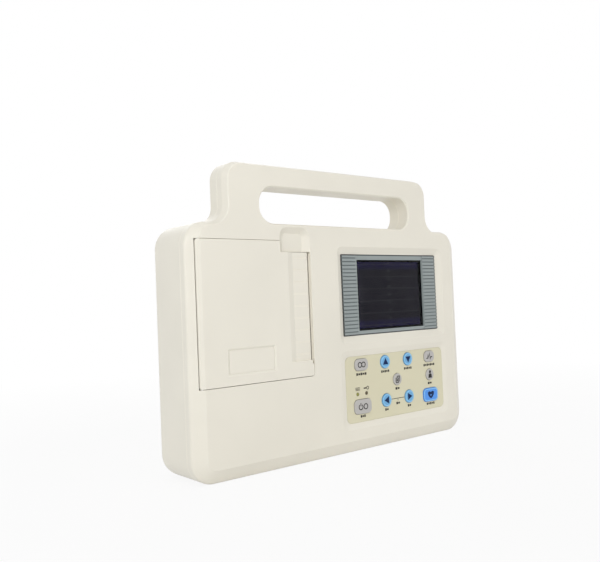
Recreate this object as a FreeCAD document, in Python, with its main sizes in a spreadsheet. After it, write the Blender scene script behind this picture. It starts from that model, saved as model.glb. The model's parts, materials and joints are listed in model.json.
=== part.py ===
import FreeCAD, Part
import math
import os
from types import SimpleNamespace

import Sketcher
from FreeCAD import Placement, Rotation, Vector
from fcgear import fcgear, involute

# A portable ECG recorder standing on its base. X runs to the right, Y from the front to the back, Z up.
# The origin is the middle of the base. Depths are measured from the flat of the front panel.

SIZES = [
    # casing
    ("body_width", 298, "casing, side to side"),
    ("body_height", 190, "casing, base to shoulders"),
    ("body_depth", 56, "casing, front panel to back"),
    ("wall", 2.5, "casing wall"),
    ("front_wall", 3.5, "front panel"),
    ("seam_depth", 12, "front panel to the seam of the two covers"),
    ("seam_chamfer", 0.4, "shadow line along the seam"),
    ("base_round", 18, "corner radius at the base"),
    ("shoulder_round", 18, "corner radius at the shoulders"),
    ("back_round", 8, "edge radius at the back"),
    ("bevel_width", 10.5, "band down the sides and along the base, seen from the front"),
    ("bevel_depth", 6, "band round the front, seen from the side"),
    ("bevel_outer_round", 2.5, "edge radius outside the band"),
    ("bevel_inner_round", 1.2, "edge radius inside the band"),
    ("face_corner", 9.5, "corner radius of the front panel at the shoulders"),
    # handle
    ("handle_left_step", 33.5, "left side of the casing to the handle"),
    ("handle_right_step", 42.2, "right side of the casing to the handle"),
    ("handle_rise", 46.5, "shoulders to the top of the handle"),
    ("handle_depth", 24, "handle, front to back"),
    ("handle_round", 14, "corner radius at the top of the handle"),
    ("handle_band", 2.3, "band along the shoulders and round the handle"),
    ("handle_foot", 1.2, "strip under the handle's back half, sunk into the shoulders"),
    ("foot_over", 2, "strip past the hollow corners of the handle"),
    ("handle_floor", 4, "front and back walls of the hollow handle"),
    ("neck_round", 13, "hollow corner between handle and shoulder"),
    ("left_post", 30.5, "handle post left of the grip hole"),
    ("right_post", 25.3, "handle post right of the grip hole"),
    ("grip_height", 17.9, "handle bar over the grip hole"),
    ("hole_round", 13, "corner radius of the grip hole"),
    ("hole_band", 1, "bevel round the grip hole"),
    # paper door
    ("door_inset", 7.4, "left side of the casing to the door"),
    ("door_width", 104.1, "door, side to side"),
    ("door_bottom", 69.2, "base to the lower edge of the door"),
    ("door_height", 107.5, "door, lower to upper edge"),
    ("door_wall", 3.2, "door thickness"),
    ("door_gap", 0.5, "gap round the door"),
    ("door_round", 2, "door corners"),
    ("hinge_gap", 1.15, "gap beside the hinge"),
    ("hinge_inset", 1.75, "door edge to the hinge axis"),
    ("hinge_depth", 2.8, "front panel to the hinge axis"),
    ("knuckle_length", 9, "hinge knuckles"),
    ("hinge_pin_radius", 1, "hinge pins"),
    ("pin_seat", 2, "hinge pins in the front cover"),
    ("slot_width", 1.9, "paper slot"),
    ("foot_height", 9.6, "door corner under the paper slot"),
    ("strip_width", 15.2, "ribbed strip beside the slot"),
    ("strip_slope", 5.9, "slope from the door down to the strip"),
    ("strip_recess", 2, "strip below the door's face"),
    ("strip_backing", 1.4, "extra thickness behind the strip"),
    ("strip_end", 3, "door face left below the strip"),
    ("groove_width", 0.8, "grooves across the strip"),
    ("groove_depth", 0.35, "grooves across the strip"),
    ("groove_pitch", 9.6, "grooves across the strip"),
    ("groove_count", 9, "grooves across the strip"),
    ("notch_drop", 8.7, "upper edge of the door to the top of the strip"),
    ("scoop_width", 30.1, "finger scoop"),
    ("scoop_inset", 0.4, "door opening to the scoop"),
    ("scoop_rise", 11.3, "scoop over the upper edge of the door"),
    ("scoop_depth", 4, "finger scoop"),
    ("scoop_slope", 5, "sloping sides of the scoop"),
    ("scoop_round", 8, "upper corners of the scoop"),
    ("notch_step", 2.5, "scoop edge to the side of the door's notch"),
    ("label_width", 44, "recess of the blank plate on the door"),
    ("label_height", 20.4, "recess of the blank plate on the door"),
    ("label_left", 22.6, "door edge to the recess"),
    ("label_bottom", 7.1, "lower edge of the door to the recess"),
    ("label_recess", 1.1, "depth of the plate's recess"),
    ("label_slope", 1.4, "sloping rim round the plate"),
    ("label_thickness", 0.4, "plate"),
    # paper drive
    ("platen_inset", 7.6, "strip edge to the platen axis"),
    ("platen_depth", 11.4, "front panel to the platen axis"),
    ("platen_radius", 5.5, "rubber roller"),
    ("platen_length", 80, "rubber roller"),
    ("shaft_radius", 2, "platen shaft"),
    ("bush_radius", 3.2, "platen bushes"),
    ("running_clearance", 0.05, "shafts in their bearings"),
    ("arm_thickness", 3, "platen arms on the door"),
    ("arm_gap", 1.2, "roller to the arms"),
    ("arm_width", 11, "platen arms"),
    ("arm_reach", 4.6, "platen axis to the end of the arms"),
    ("gear_gap", 0.9, "arm to the gear"),
    ("gear_width", 4.5, "gears"),
    ("gear_module", 0.6, "gears"),
    ("platen_teeth", 18, "gear on the platen"),
    ("idler_teeth", 40, "idler gear"),
    ("pinion_teeth", 17, "motor pinion"),
    ("mesh_play", 0.12, "added to each gear centre distance"),
    ("idler_angle", 20, "platen to idler, turned left from straight back"),
    ("pinion_angle", 55, "idler to pinion, turned left from straight back"),
    ("idler_axle_radius", 1.5, "idler axle"),
    ("motor_shaft_radius", 1, "motor shaft"),
    ("motor_radius", 12.5, "stepper motor"),
    ("motor_height", 15, "stepper motor"),
    ("motor_boss_radius", 3.5, "pilot boss of the motor"),
    ("motor_ear_reach", 16, "motor axis to its screws"),
    ("motor_plate", 1.2, "motor mounting plate"),
    ("motor_ear_half", 4, "half width of the motor's ears"),
    ("motor_shaft_reach", 9, "motor shaft inside the motor"),
    ("shaft_over", 0.8, "shafts past what they carry"),
    # paper
    ("tray_wall", 2, "paper tray"),
    ("tray_back_gap", 3, "tray to the back wall"),
    ("rib_inset", 12, "tray ends to the ribs behind it"),
    ("paper_width", 79.5, "paper roll"),
    ("roll_radius", 18.5, "full paper roll"),
    ("roll_inset", 34, "door edge to the roll axis"),
    ("roll_depth", 28, "front panel to the roll axis"),
    ("spindle_radius", 6.3, "paper spindle"),
    ("spindle_over", 5, "spindle past the roll"),
    ("journal_radius", 3, "spindle ends"),
    ("journal_length", 6, "spindle ends"),
    ("cradle_width", 16, "spindle cradles"),
    ("cradle_thickness", 3, "spindle cradles"),
    ("cradle_rise", 6, "cradle over the spindle axis"),
    ("cradle_gap", 0.5, "spindle shoulders to the cradles"),
    # print head
    ("paper_gap", 0.35, "platen to print head"),
    ("head_width", 11, "print head"),
    ("head_thickness", 1, "print head"),
    ("head_length", 84, "print head"),
    ("sink_thickness", 5, "heat sink of the head"),
    ("pivot_reach", 10.5, "platen axis to the head pivot"),
    ("pivot_radius", 1, "head pivot pin"),
    ("lug_radius", 2.4, "pivot lugs of the heat sink"),
    ("lug_length", 8, "pivot lugs of the heat sink"),
    ("bracket_sheet", 1.2, "head bracket sheet"),
    ("bracket_gap", 0.6, "head to the cheeks of its bracket"),
    ("spring_length", 6, "head springs"),
    ("spring_radius", 2, "head springs"),
    ("spring_wire", 0.35, "head springs"),
    ("spring_pitch", 1.5, "head springs"),
    # screen
    ("panel_margin", 24.4, "right side of the casing to the screen rim"),
    ("bezel_width", 120, "grey screen bezel"),
    ("bezel_height", 69.5, "grey screen bezel"),
    ("bezel_bottom", 97.7, "base to the bezel"),
    ("bezel_slope", 6.2, "sloping rim round the bezel"),
    ("bezel_recess", 3.3, "bezel below the front panel"),
    ("bezel_round", 1, "bezel corners"),
    ("rim_round", 5, "outer corners of the rims"),
    ("bezel_flange", 3, "bezel behind the front panel"),
    ("bezel_thickness", 2, "bezel"),
    ("bezel_rib", 0.7, "ribs on the bezel's wings"),
    ("rib_pitch", 3.15, "ribs on the bezel's wings"),
    ("rib_width", 2.2, "ribs on the bezel's wings"),
    ("rib_count", 22, "ribs on the bezel's wings"),
    ("rib_margin", 0.4, "ribs to the edges of a wing"),
    ("screen_width", 83, "screen opening"),
    ("screen_height", 61, "screen opening"),
    ("screen_lift", 3.8, "bezel edge to the screen opening"),
    ("window_lap", 1.5, "window behind its opening"),
    ("window_thickness", 1, "clear window"),
    ("lcd_border", 5, "LCD past its opening"),
    ("lcd_glass", 1.4, "LCD panel"),
    ("lcd_box", 5, "LCD light box"),
    ("slip_gap", 0.2, "gap round inset pieces"),
    # keypad
    ("pad_width", 123.6, "keypad sheet"),
    ("pad_height", 56, "keypad sheet"),
    ("pad_bottom", 24.6, "base to the keypad sheet"),
    ("pad_slope", 5, "sloping rim round the keypad"),
    ("pad_recess", 1.2, "keypad below the front panel"),
    ("pad_sheet", 0.5, "keypad sheet"),
    ("pad_round", 5, "keypad corners"),
    ("column_inner", 14.5, "middle of the keypad to the inner keys"),
    ("column_outer", 43.4, "middle of the keypad to the outer keys"),
    ("row_upper", 73, "base to the upper keys"),
    ("row_middle", 56.2, "base to the middle keys"),
    ("row_lower", 39.5, "base to the lower keys"),
    ("row_power", 37.7, "base to the power and print keys"),
    ("key_radius", 5.7, "arrow keys"),
    ("small_key_radius", 5.2, "round grey keys"),
    ("mode_width", 15.4, "mode key"),
    ("filter_width", 13.5, "filter key"),
    ("upper_key_height", 10, "mode and filter keys"),
    ("power_width", 19.8, "power and print keys"),
    ("power_height", 12.2, "power and print keys"),
    ("key_corner", 4, "corners of the square keys"),
    ("key_proud", 0.9, "keys over the keypad sheet"),
    ("key_edge", 0.5, "edge radius of the keys"),
    ("key_gap", 0.3, "keys in their holes"),
    ("key_flange", 1.2, "rim that keeps a key in"),
    ("key_flange_thickness", 1, "rim that keeps a key in"),
    ("key_travel", 0.8, "keys"),
    ("dome_radius", 3, "switch domes"),
    ("dome_height", 1.7, "switch domes"),
    ("lamp_radius", 1.5, "indicator lamps"),
    ("lamp_spread", 5.15, "lamps to the middle of the power key"),
    ("lamp_row", 48.4, "base to the lamps"),
    ("board_thickness", 1.6, "circuit boards"),
    ("pillar_radius", 3, "board pillars"),
    ("board_screw_radius", 1.25, "board screws"),
    ("board_screw_head", 2.4, "board screws"),
    ("board_screw_length", 4.5, "board screws, under the head"),
    # casing screws
    ("screw_radius", 1.5, "casing screws"),
    ("screw_head", 2.9, "casing screws"),
    ("screw_length", 9, "casing screws, under the head"),
    ("screw_head_height", 2, "casing screws"),
    ("boss_radius", 4.5, "screw bosses"),
    ("boss_inset", 16, "casing sides to the screw bosses"),
    ("boss_middle", 8.95, "paper tray to the middle screw boss"),
    ("boss_floor", 3, "floor under a screw head"),
    ("handle_boss_rise", 15, "shoulders to the screws in the handle"),
    ("boss_depth", 17, "front panel to the meeting of the bosses"),
    ("thread_relief", 0.6, "screw tips to the ends of their holes"),
    ("screw_clearance", 0.3, "screws in the rear cover"),
    # inside the back
    ("main_board_left", 7, "tray to the main board"),
    ("main_board_width", 134, "main board"),
    ("main_board_height", 110, "main board"),
    ("main_board_bottom", 70, "base to the main board"),
    ("power_board_left", 21, "tray to the power board"),
    ("power_board_width", 110, "power board"),
    ("power_board_height", 50, "power board"),
    ("power_board_bottom", 10, "base to the power board"),
    ("pillar_height", 6, "back wall to the boards"),
    ("shield_sheet", 0.5, "shield over the input stage"),
    ("ribbon_width", 30, "cable to the LCD"),
    ("ribbon_sheet", 0.4, "cable to the LCD"),
    ("ribbon_drop", 12, "top of the screen to the cable"),
    ("pillar_inset", 5, "board corners to the pillars"),
    ("battery_width", 42, "battery pack"),
    ("battery_height", 31, "battery pack"),
    ("battery_depth", 20, "battery pack"),
    ("battery_left", 30, "left side of the casing to the battery"),
    ("battery_bottom", 14.5, "base to the battery"),
    ("battery_gap", 0.8, "battery in its opening"),
    ("bay_wall", 1.5, "walls round the battery"),
    ("cover_lap", 3, "battery cover over its ledge"),
    ("cover_thickness", 1.5, "battery cover"),
    ("cover_grip_width", 18, "finger grooves in the battery cover"),
    ("cover_grip_drop", 6, "finger grooves in the battery cover"),
    ("cover_grip_pitch", 3, "finger grooves in the battery cover"),
    ("cover_grip_groove", 1.2, "finger grooves in the battery cover"),
    ("cover_grip_depth", 0.6, "finger grooves in the battery cover"),
    ("foot_radius", 7, "rear feet"),
    ("rear_foot_height", 2, "rear feet"),
    ("foot_side", 36, "casing sides to the rear feet"),
    ("foot_up", 17, "casing ends to the rear feet"),
    ("foot_left_low", 86, "left side of the casing to the lower left foot"),
    ("vent_count", 9, "vent slots in the back"),
    ("vent_pitch", 6, "vent slots in the back"),
    ("vent_width", 2.4, "vent slots in the back"),
    ("vent_height", 30, "vent slots in the back"),
    # right side wall
    ("socket_back", 23, "back of the casing to the middle of the side fittings"),
    ("plate_bottom", 31, "base to the plate that carries the side fittings"),
    ("plate_height", 119, "plate for the side fittings"),
    ("plate_depth", 27, "plate for the side fittings"),
    ("plate_round", 2, "corners of the plate for the side fittings"),
    ("plate_rim", 1.2, "rim that holds the plate from behind the wall"),
    ("plate_lap", 1.2, "rim of the plate, past its opening and inside its edge"),
    ("inlet_row", 49, "base to the mains inlet"),
    ("inlet_height", 27, "mains inlet, through the wall"),
    ("inlet_depth", 20, "mains inlet, through the wall"),
    ("inlet_body", 23, "mains inlet, behind its flange"),
    ("inlet_flange", 2, "mains inlet flange"),
    ("inlet_lip", 3, "mains inlet flange past its hole"),
    ("inlet_mouth", 16, "depth of the plug recess"),
    ("inlet_side", 1.6, "wall of the plug recess"),
    ("inlet_round", 1.5, "corners of the plug recess"),
    ("blade_width", 4, "inlet blades"),
    ("blade_thickness", 2, "inlet blades"),
    ("blade_length", 13, "inlet blades"),
    ("blade_spread", 7, "middle blade to the outer blades"),
    ("blade_offset", 2, "inlet middle to the rows of blades"),
    ("switch_row", 82, "base to the mains switch"),
    ("switch_height", 19.2, "mains switch, through the wall"),
    ("switch_depth", 13, "mains switch, through the wall"),
    ("switch_body", 14, "mains switch, behind its flange"),
    ("switch_lip", 1.4, "switch flange past its hole"),
    ("switch_flange", 1.6, "switch flange"),
    ("switch_side", 1.2, "wall of the switch"),
    ("rocker_gap", 0.3, "rocker in its frame"),
    ("rocker_end_gap", 0.8, "ends of the rocker in its frame"),
    ("rocker_sink", 0.2, "rocker axis inside the wall's face"),
    ("rocker_rise", 1.2, "rocker face over its axis"),
    ("rocker_tilt", 8, "rocker, either way from level"),
    ("rocker_radius", 1, "rocker trunnions"),
    ("rocker_thickness", 4, "rocker"),
    ("stud_row", 24, "base to the ground terminal"),
    ("stud_radius", 3, "ground terminal pin"),
    ("stud_reach", 11, "ground terminal pin"),
    ("stud_flange_radius", 5.5, "ground terminal flange"),
    ("stud_flange", 2, "ground terminal flange"),
    ("stud_nut", 4, "nut of the ground terminal"),
    ("stud_nut_across", 8, "nut of the ground terminal, across flats"),
    ("stud_shank_radius", 2.5, "ground terminal in the wall"),
    ("socket_row", 127, "base to the patient socket"),
    ("socket_length", 39.2, "patient socket plate"),
    ("socket_plate_width", 12.5, "patient socket plate"),
    ("socket_plate", 1.2, "patient socket plate"),
    ("shell_long", 25.2, "patient socket shell, long side"),
    ("shell_short", 22.4, "patient socket shell, short side"),
    ("shell_width", 8.4, "patient socket shell"),
    ("shell_proud", 2, "patient socket shell over the wall"),
    ("shell_gap", 0.4, "shell in its hole"),
    ("socket_body", 9, "patient socket, behind its plate"),
    ("contact_radius", 0.55, "patient socket contacts"),
    ("contact_pitch", 2.77, "patient socket contacts"),
    ("contact_depth", 5, "patient socket contacts"),
    ("post_spacing", 33.3, "screw posts beside the patient socket"),
    ("post_across", 5, "screw posts, across flats"),
    ("post_height", 4.8, "screw posts"),
    ("post_bore", 1.25, "screw posts"),
    ("post_shank", 1.5, "screw posts, in the wall"),
]

PRESSURE_ANGLE = 20
COVER_GRIPS = 3
LONG_ROW = 8
SHORT_ROW = 7

doc = FreeCAD.newDocument("ecg_recorder")
sheet = doc.addObject("Spreadsheet::Sheet", "dims")


class Size:
    """A number worked out from the sheet, with the formula that keeps it tied to the sheet."""

    def __init__(self, number, formula):
        self.number = number
        self.formula = formula

    def __add__(self, other):
        other = size(other)
        return Size(self.number + other.number, f"({self.formula} + {other.formula})")

    def __sub__(self, other):
        other = size(other)
        return Size(self.number - other.number, f"({self.formula} - {other.formula})")

    def __mul__(self, other):
        other = size(other)
        return Size(self.number * other.number, f"{self.formula} * {other.formula}")

    def __truediv__(self, other):
        other = size(other)
        return Size(self.number / other.number, f"{self.formula} / {other.formula}")

    def __neg__(self):
        return Size(-self.number, f"(0 - {self.formula})")


def size(value):
    """A Size from a Size or a plain number."""
    if isinstance(value, Size):
        return value
    return Size(float(value), f"({value})")


def sine(angle):
    return Size(math.sin(math.radians(angle.number)), f"sin({angle.formula} * 1 deg)")


def cosine(angle):
    return Size(math.cos(math.radians(angle.number)), f"cos({angle.formula} * 1 deg)")


def fill_sheet():
    """Writes the driving sizes into the sheet and returns them by name."""
    table = SimpleNamespace()
    for row, (name, value, meaning) in enumerate(SIZES, start=1):
        sheet.set(f"A{row}", meaning)
        sheet.set(f"B{row}", str(value))
        sheet.setAlias(f"B{row}", name)
        setattr(table, name, Size(float(value), f"dims.{name}"))
    return table


dim = fill_sheet()
doc.recompute()
nodes = []


def bind(thing, prop, value):
    """Ties a property to the sheet."""
    thing.setExpression(prop, size(value).formula)


def node(thing, label):
    """Names a finished sub-part and keeps it for writing."""
    thing.Label = label
    nodes.append(thing)
    return thing


# Blocks, bars and their sums and differences

ALONG = {"x": Rotation(Vector(0, 1, 0), 90), "y": Rotation(Vector(1, 0, 0), -90), "z": Rotation()}


def place(thing, spot):
    for axis, value in zip("xyz", spot):
        bind(thing, f"Placement.Base.{axis}", value)


def box(label, low, high):
    """A block between two opposite corners."""
    block = doc.addObject("Part::Box", label)
    for prop, start, end in zip(("Length", "Width", "Height"), low, high):
        bind(block, prop, size(end) - start)
    place(block, low)
    return block


def bar(label, axis, spot, length, radius):
    """A round bar that starts at a spot and runs along an axis."""
    rod = doc.addObject("Part::Cylinder", label)
    rod.Placement = Placement(Vector(), ALONG[axis])
    bind(rod, "Radius", radius)
    bind(rod, "Height", length)
    place(rod, spot)
    return rod


def hexagon(label, axis, spot, length, across):
    """A six-sided bar, sized across its flats."""
    rod = doc.addObject("Part::Prism", label)
    rod.Polygon = 6
    rod.Placement = Placement(Vector(), ALONG[axis])
    bind(rod, "Circumradius", size(across) / (2 * math.cos(math.pi / 6)))
    bind(rod, "Height", length)
    place(rod, spot)
    return rod


def fuse(label, pieces):
    whole = doc.addObject("Part::MultiFuse", label)
    whole.Shapes = pieces
    whole.Refine = True
    return whole


def cut(label, base, tools):
    rest = doc.addObject("Part::Cut", label)
    rest.Base = base
    rest.Tool = tools[0] if len(tools) == 1 else fuse(label + "_tools", tools)
    rest.Refine = True
    return rest


def group(label, pieces):
    """Separate solids that share one node."""
    several = doc.addObject("Part::Compound", label)
    several.Links = pieces
    return several


# Bodies built from sketches

PLANES = {"front": ("XZ_Plane", -1), "level": ("XY_Plane", 1), "side": ("YZ_Plane", 1)}


class Piece:
    """A sub-part built feature by feature in a body of its own."""

    def __init__(self, label, base=None):
        self.body = doc.addObject("PartDesign::Body", label)
        if base:
            self.body.BaseFeature = base

    def sketch(self, name, plane, offset):
        """An empty sketch across the X, Y or Z direction, at a distance along it."""
        role, facing = PLANES[plane]
        origin = [part for part in self.body.Origin.OriginFeatures if part.Role == role]
        drawing = self.body.newObject("Sketcher::SketchObject", name)
        drawing.AttachmentSupport = [(origin[0], "")]
        drawing.MapMode = "FlatFace"
        bind(drawing, "AttachmentOffset.Base.z", size(offset) * facing)
        drawing.addProperty("App::PropertyInteger", "Facing")
        drawing.Facing = facing
        return drawing

    def outline(self, name, plane, offset, *loops):
        """A sketch of closed loops of level and upright edges with rounded corners."""
        drawing = self.sketch(name, plane, offset)
        for corners in loops:
            draw_rounded(drawing, corners)
        return drawing

    def polygon(self, name, plane, offset, points):
        drawing = self.sketch(name, plane, offset)
        draw_polygon(drawing, points)
        return drawing

    def circles(self, name, plane, offset, spots, radius):
        drawing = self.sketch(name, plane, offset)
        for spot in spots:
            draw_circle(drawing, spot, radius)
        return drawing

    def swell(self, kind, drawing, length, forward):
        feature = self.body.newObject(f"PartDesign::{kind}", f"{drawing.Name}_{kind}")
        feature.Profile = drawing
        bind(feature, "Length", length)
        feature.Reversed = forward
        drawing.Visibility = False
        return feature

    def pad(self, drawing, length, onward=True):
        """Adds material from a sketch, onward along the axis or back against it."""
        return self.swell("Pad", drawing, length, onward == (drawing.Facing < 0))

    def pocket(self, drawing, length, onward=True):
        """Takes material from a sketch, onward along the axis or back against it."""
        return self.swell("Pocket", drawing, length, onward == (drawing.Facing > 0))

    def loft(self, kind, first, second):
        """Adds or takes a straight-sided taper between two sketches."""
        feature = self.body.newObject(f"PartDesign::{kind}Loft", f"{first.Name}_loft")
        feature.Profile = first
        feature.Sections = [second]
        feature.Ruled = True
        return feature

    def edges(self, chosen):
        """Names of the edges of the piece so far that a test picks."""
        doc.recompute()
        shape = self.body.Tip.Shape
        return [f"Edge{number}" for number, edge in enumerate(shape.Edges, start=1) if chosen(edge)]

    def soften(self, kind, chosen, amount):
        """Rounds or chamfers the edges that a test picks."""
        names = self.edges(chosen)
        base = self.body.Tip
        feature = self.body.newObject(f"PartDesign::{kind}", f"{self.body.Name}_{kind}")
        feature.Base = (base, names)
        bind(feature, "Radius" if kind == "Fillet" else "Size", amount)
        return feature

    def repeat(self, feature, axis, length, count):
        """Repeats a feature along an origin axis."""
        line = [part for part in self.body.Origin.OriginFeatures if part.Role == axis]
        row = self.body.newObject("PartDesign::LinearPattern", f"{feature.Name}_row")
        row.Originals = [feature]
        row.Direction = (line[0], [""])
        bind(row, "Length", length)
        bind(row, "Occurrences", count)
        self.body.Tip = row
        return row


def tie(drawing, kind, value, *where):
    """Adds a measured constraint that follows the sheet."""
    number = drawing.addConstraint(Sketcher.Constraint(kind, *where, size(value).number))
    drawing.setExpression(f"Constraints[{number}]", size(value).formula)


def pin_point(drawing, item, end, across, up):
    tie(drawing, "DistanceX", across, -1, 1, item, end)
    tie(drawing, "DistanceY", up, -1, 1, item, end)


def draw_circle(drawing, spot, radius):
    centre = Vector(size(spot[0]).number, size(spot[1]).number)
    item = drawing.addGeometry(Part.Circle(centre, Vector(0, 0, 1), size(radius).number))
    pin_point(drawing, item, 3, *spot)
    tie(drawing, "Radius", radius, item)


def draw_polygon(drawing, points):
    spots = [Vector(size(across).number, size(up).number) for across, up in points]
    items = []
    for number, spot in enumerate(spots):
        following = spots[(number + 1) % len(spots)]
        items.append(drawing.addGeometry(Part.LineSegment(spot, following)))
    for number, item in enumerate(items):
        drawing.addConstraint(Sketcher.Constraint("Coincident", items[number - 1], 2, item, 1))
        pin_point(drawing, item, 1, *points[number])


class Corner:
    """A corner of a rounded loop: where its rounding starts and ends, as numbers."""

    def __init__(self, before, here, after):
        self.across, self.up, self.radius = here
        self.spot = Vector(size(here[0]).number, size(here[1]).number)
        arriving = (self.spot - Vector(size(before[0]).number, size(before[1]).number)).normalize()
        leaving = (Vector(size(after[0]).number, size(after[1]).number) - self.spot).normalize()
        reach = size(self.radius).number
        self.start = self.spot - arriving * reach
        self.end = self.spot + leaving * reach
        self.centre = self.start + leaving * reach
        self.left_turn = arriving.cross(leaving).z > 0
        self.level = abs(leaving.y) < abs(leaving.x)

    def arc(self):
        first, last = (self.start, self.end) if self.left_turn else (self.end, self.start)
        angles = [math.atan2(spot.y - self.centre.y, spot.x - self.centre.x) for spot in (first, last)]
        if angles[1] < angles[0]:
            angles[1] += 2 * math.pi
        circle = Part.Circle(self.centre, Vector(0, 0, 1), size(self.radius).number)
        return Part.ArcOfCircle(circle, *angles)


def draw_rounded(drawing, corners):
    """Draws a loop of level and upright edges; each corner has its place and its radius, 0 if sharp."""
    count = len(corners)
    turns = [Corner(corners[n - 1], corners[n], corners[(n + 1) % count]) for n in range(count)]
    lines = []
    for number, turn in enumerate(turns):
        following = turns[(number + 1) % count]
        lines.append(drawing.addGeometry(Part.LineSegment(turn.end, following.start)))
    for number, turn in enumerate(turns):
        line = lines[number]
        arriving = lines[number - 1]
        if turn.level:
            drawing.addConstraint(Sketcher.Constraint("Horizontal", line))
            tie(drawing, "DistanceY", turn.up, -1, 1, line, 1)
        else:
            drawing.addConstraint(Sketcher.Constraint("Vertical", line))
            tie(drawing, "DistanceX", turn.across, -1, 1, line, 1)
        if size(turn.radius).number == 0:
            drawing.addConstraint(Sketcher.Constraint("Coincident", arriving, 2, line, 1))
            continue
        arc = drawing.addGeometry(turn.arc())
        first, last = (1, 2) if turn.left_turn else (2, 1)
        drawing.addConstraint(Sketcher.Constraint("Tangent", arriving, 2, arc, first))
        drawing.addConstraint(Sketcher.Constraint("Tangent", arc, last, line, 1))
        tie(drawing, "Radius", turn.radius, arc)


def rectangle(left, bottom, right, top, radius=0):
    """Corners of an upright rectangle."""
    return [(left, bottom, radius), (right, bottom, radius), (right, top, radius), (left, top, radius)]


# Places that several pieces share

left = dim.body_width / -2
right = dim.body_width / 2
front = dim.body_depth / -2
back = dim.body_depth / 2
top = dim.body_height + dim.handle_rise


def deep(depth):
    """Y of a depth behind the front panel."""
    return front + depth


handle_left = left + dim.handle_left_step
handle_right = right - dim.handle_right_step
hole_left = handle_left + dim.left_post
hole_right = handle_right - dim.right_post
hole_top = top - dim.grip_height
rim_depth = dim.bevel_depth + dim.wall
foot_z = dim.body_height - dim.handle_foot
foot_left = handle_left - dim.neck_round - dim.foot_over
foot_right = handle_right + dim.neck_round + dim.foot_over

door_left = left + dim.door_inset
door_right = door_left + dim.door_width
door_top = dim.door_bottom + dim.door_height
open_left = door_left - dim.hinge_gap
open_right = door_right + dim.door_gap
open_bottom = dim.door_bottom - dim.door_gap
open_top = door_top + dim.door_gap
hinge_x = door_left + dim.hinge_inset
hinge_y = deep(dim.hinge_depth)
strip_right = open_right - dim.slot_width
strip_left = strip_right - dim.strip_width
channel_left = strip_left - dim.strip_slope
strip_bottom = dim.door_bottom + dim.foot_height
strip_top = door_top - dim.notch_drop
scoop_right = open_right - dim.scoop_inset
scoop_left = scoop_right - dim.scoop_width
scoop_top = door_top + dim.scoop_rise
notch_left = scoop_left + dim.notch_step
label_y = deep(dim.label_recess - dim.label_thickness)

tray_left = open_left - dim.tray_wall
tray_right = open_right + dim.tray_wall
tray_bottom = open_bottom - dim.tray_wall
tray_top = open_top + dim.tray_wall
back_inner = back - dim.wall
tray_back = back_inner - dim.tray_back_gap
tray_floor = tray_back - dim.tray_wall

paper_middle = (strip_bottom + strip_top) / 2
platen_x = strip_right - dim.platen_inset
platen_y = deep(dim.platen_depth)
platen_low = paper_middle - dim.platen_length / 2
platen_high = paper_middle + dim.platen_length / 2
arm_low = platen_low - dim.arm_gap
arm_high = platen_high + dim.arm_gap
gear_top = arm_low - dim.arm_thickness - dim.gear_gap
gear_low = gear_top - dim.gear_width
idler_reach = dim.gear_module * (dim.platen_teeth + dim.idler_teeth) / 2 + dim.mesh_play
idler_x = platen_x - idler_reach * sine(dim.idler_angle)
idler_y = platen_y + idler_reach * cosine(dim.idler_angle)
pinion_reach = dim.gear_module * (dim.idler_teeth + dim.pinion_teeth) / 2 + dim.mesh_play
pinion_x = idler_x - pinion_reach * sine(dim.pinion_angle)
pinion_y = idler_y + pinion_reach * cosine(dim.pinion_angle)
roll_x = door_left + dim.roll_inset
roll_y = deep(dim.roll_depth)

panel_half = dim.bezel_width / 2 + dim.bezel_slope
panel_x = right - dim.panel_margin - panel_half
bezel_left = panel_x - dim.bezel_width / 2
bezel_right = panel_x + dim.bezel_width / 2
bezel_top = dim.bezel_bottom + dim.bezel_height
bezel_y = deep(dim.bezel_recess)
bezel_back = bezel_y + dim.bezel_thickness
screen_bottom = dim.bezel_bottom + dim.screen_lift
screen_top = screen_bottom + dim.screen_height
lcd_y = bezel_back
lcd_box_y = lcd_y + dim.lcd_glass
pad_left = panel_x - dim.pad_width / 2
pad_right = panel_x + dim.pad_width / 2
pad_top = dim.pad_bottom + dim.pad_height
pad_y = deep(dim.pad_recess)
key_front = pad_y - dim.key_proud
key_flange_y = deep(dim.front_wall) + dim.key_gap
key_back = key_flange_y + dim.key_flange_thickness
dome_y = key_back + dim.key_travel + dim.key_gap
key_board_y = dome_y + dim.dome_height
power_column = panel_x - dim.column_outer

boss_left = left + dim.boss_inset
boss_right = right - dim.boss_inset
boss_mid = tray_right + dim.boss_middle
boss_bottom = dim.boss_inset
boss_top = dim.body_height - dim.boss_inset
BODY_BOSSES = [(boss_left, boss_bottom), (boss_mid, boss_bottom), (boss_right, boss_bottom),
               (boss_right, boss_top)]
handle_boss_z = dim.body_height + dim.handle_boss_rise
HANDLE_BOSSES = [(handle_left + dim.left_post / 2, handle_boss_z),
                 (handle_right - dim.right_post / 2, handle_boss_z)]

board_back = back_inner - dim.pillar_height
board_y = board_back - dim.board_thickness
main_left = tray_right + dim.main_board_left
main_right = main_left + dim.main_board_width
main_top = dim.main_board_bottom + dim.main_board_height
power_left = tray_right + dim.power_board_left
power_right = power_left + dim.power_board_width
power_top = dim.power_board_bottom + dim.power_board_height
battery_left = left + dim.battery_left
battery_right = battery_left + dim.battery_width
battery_top = dim.battery_bottom + dim.battery_height
cover_y = back - dim.cover_thickness
fitting_y = back - dim.socket_back
wall_inner = right - dim.wall


def inner_corners(low_left, low_bottom, high_right, high_top, inset):
    """Four spots set in from the corners of a rectangle."""
    return [(across, up)
            for across in (low_left + inset, high_right - inset)
            for up in (low_bottom + inset, high_top - inset)]


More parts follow.
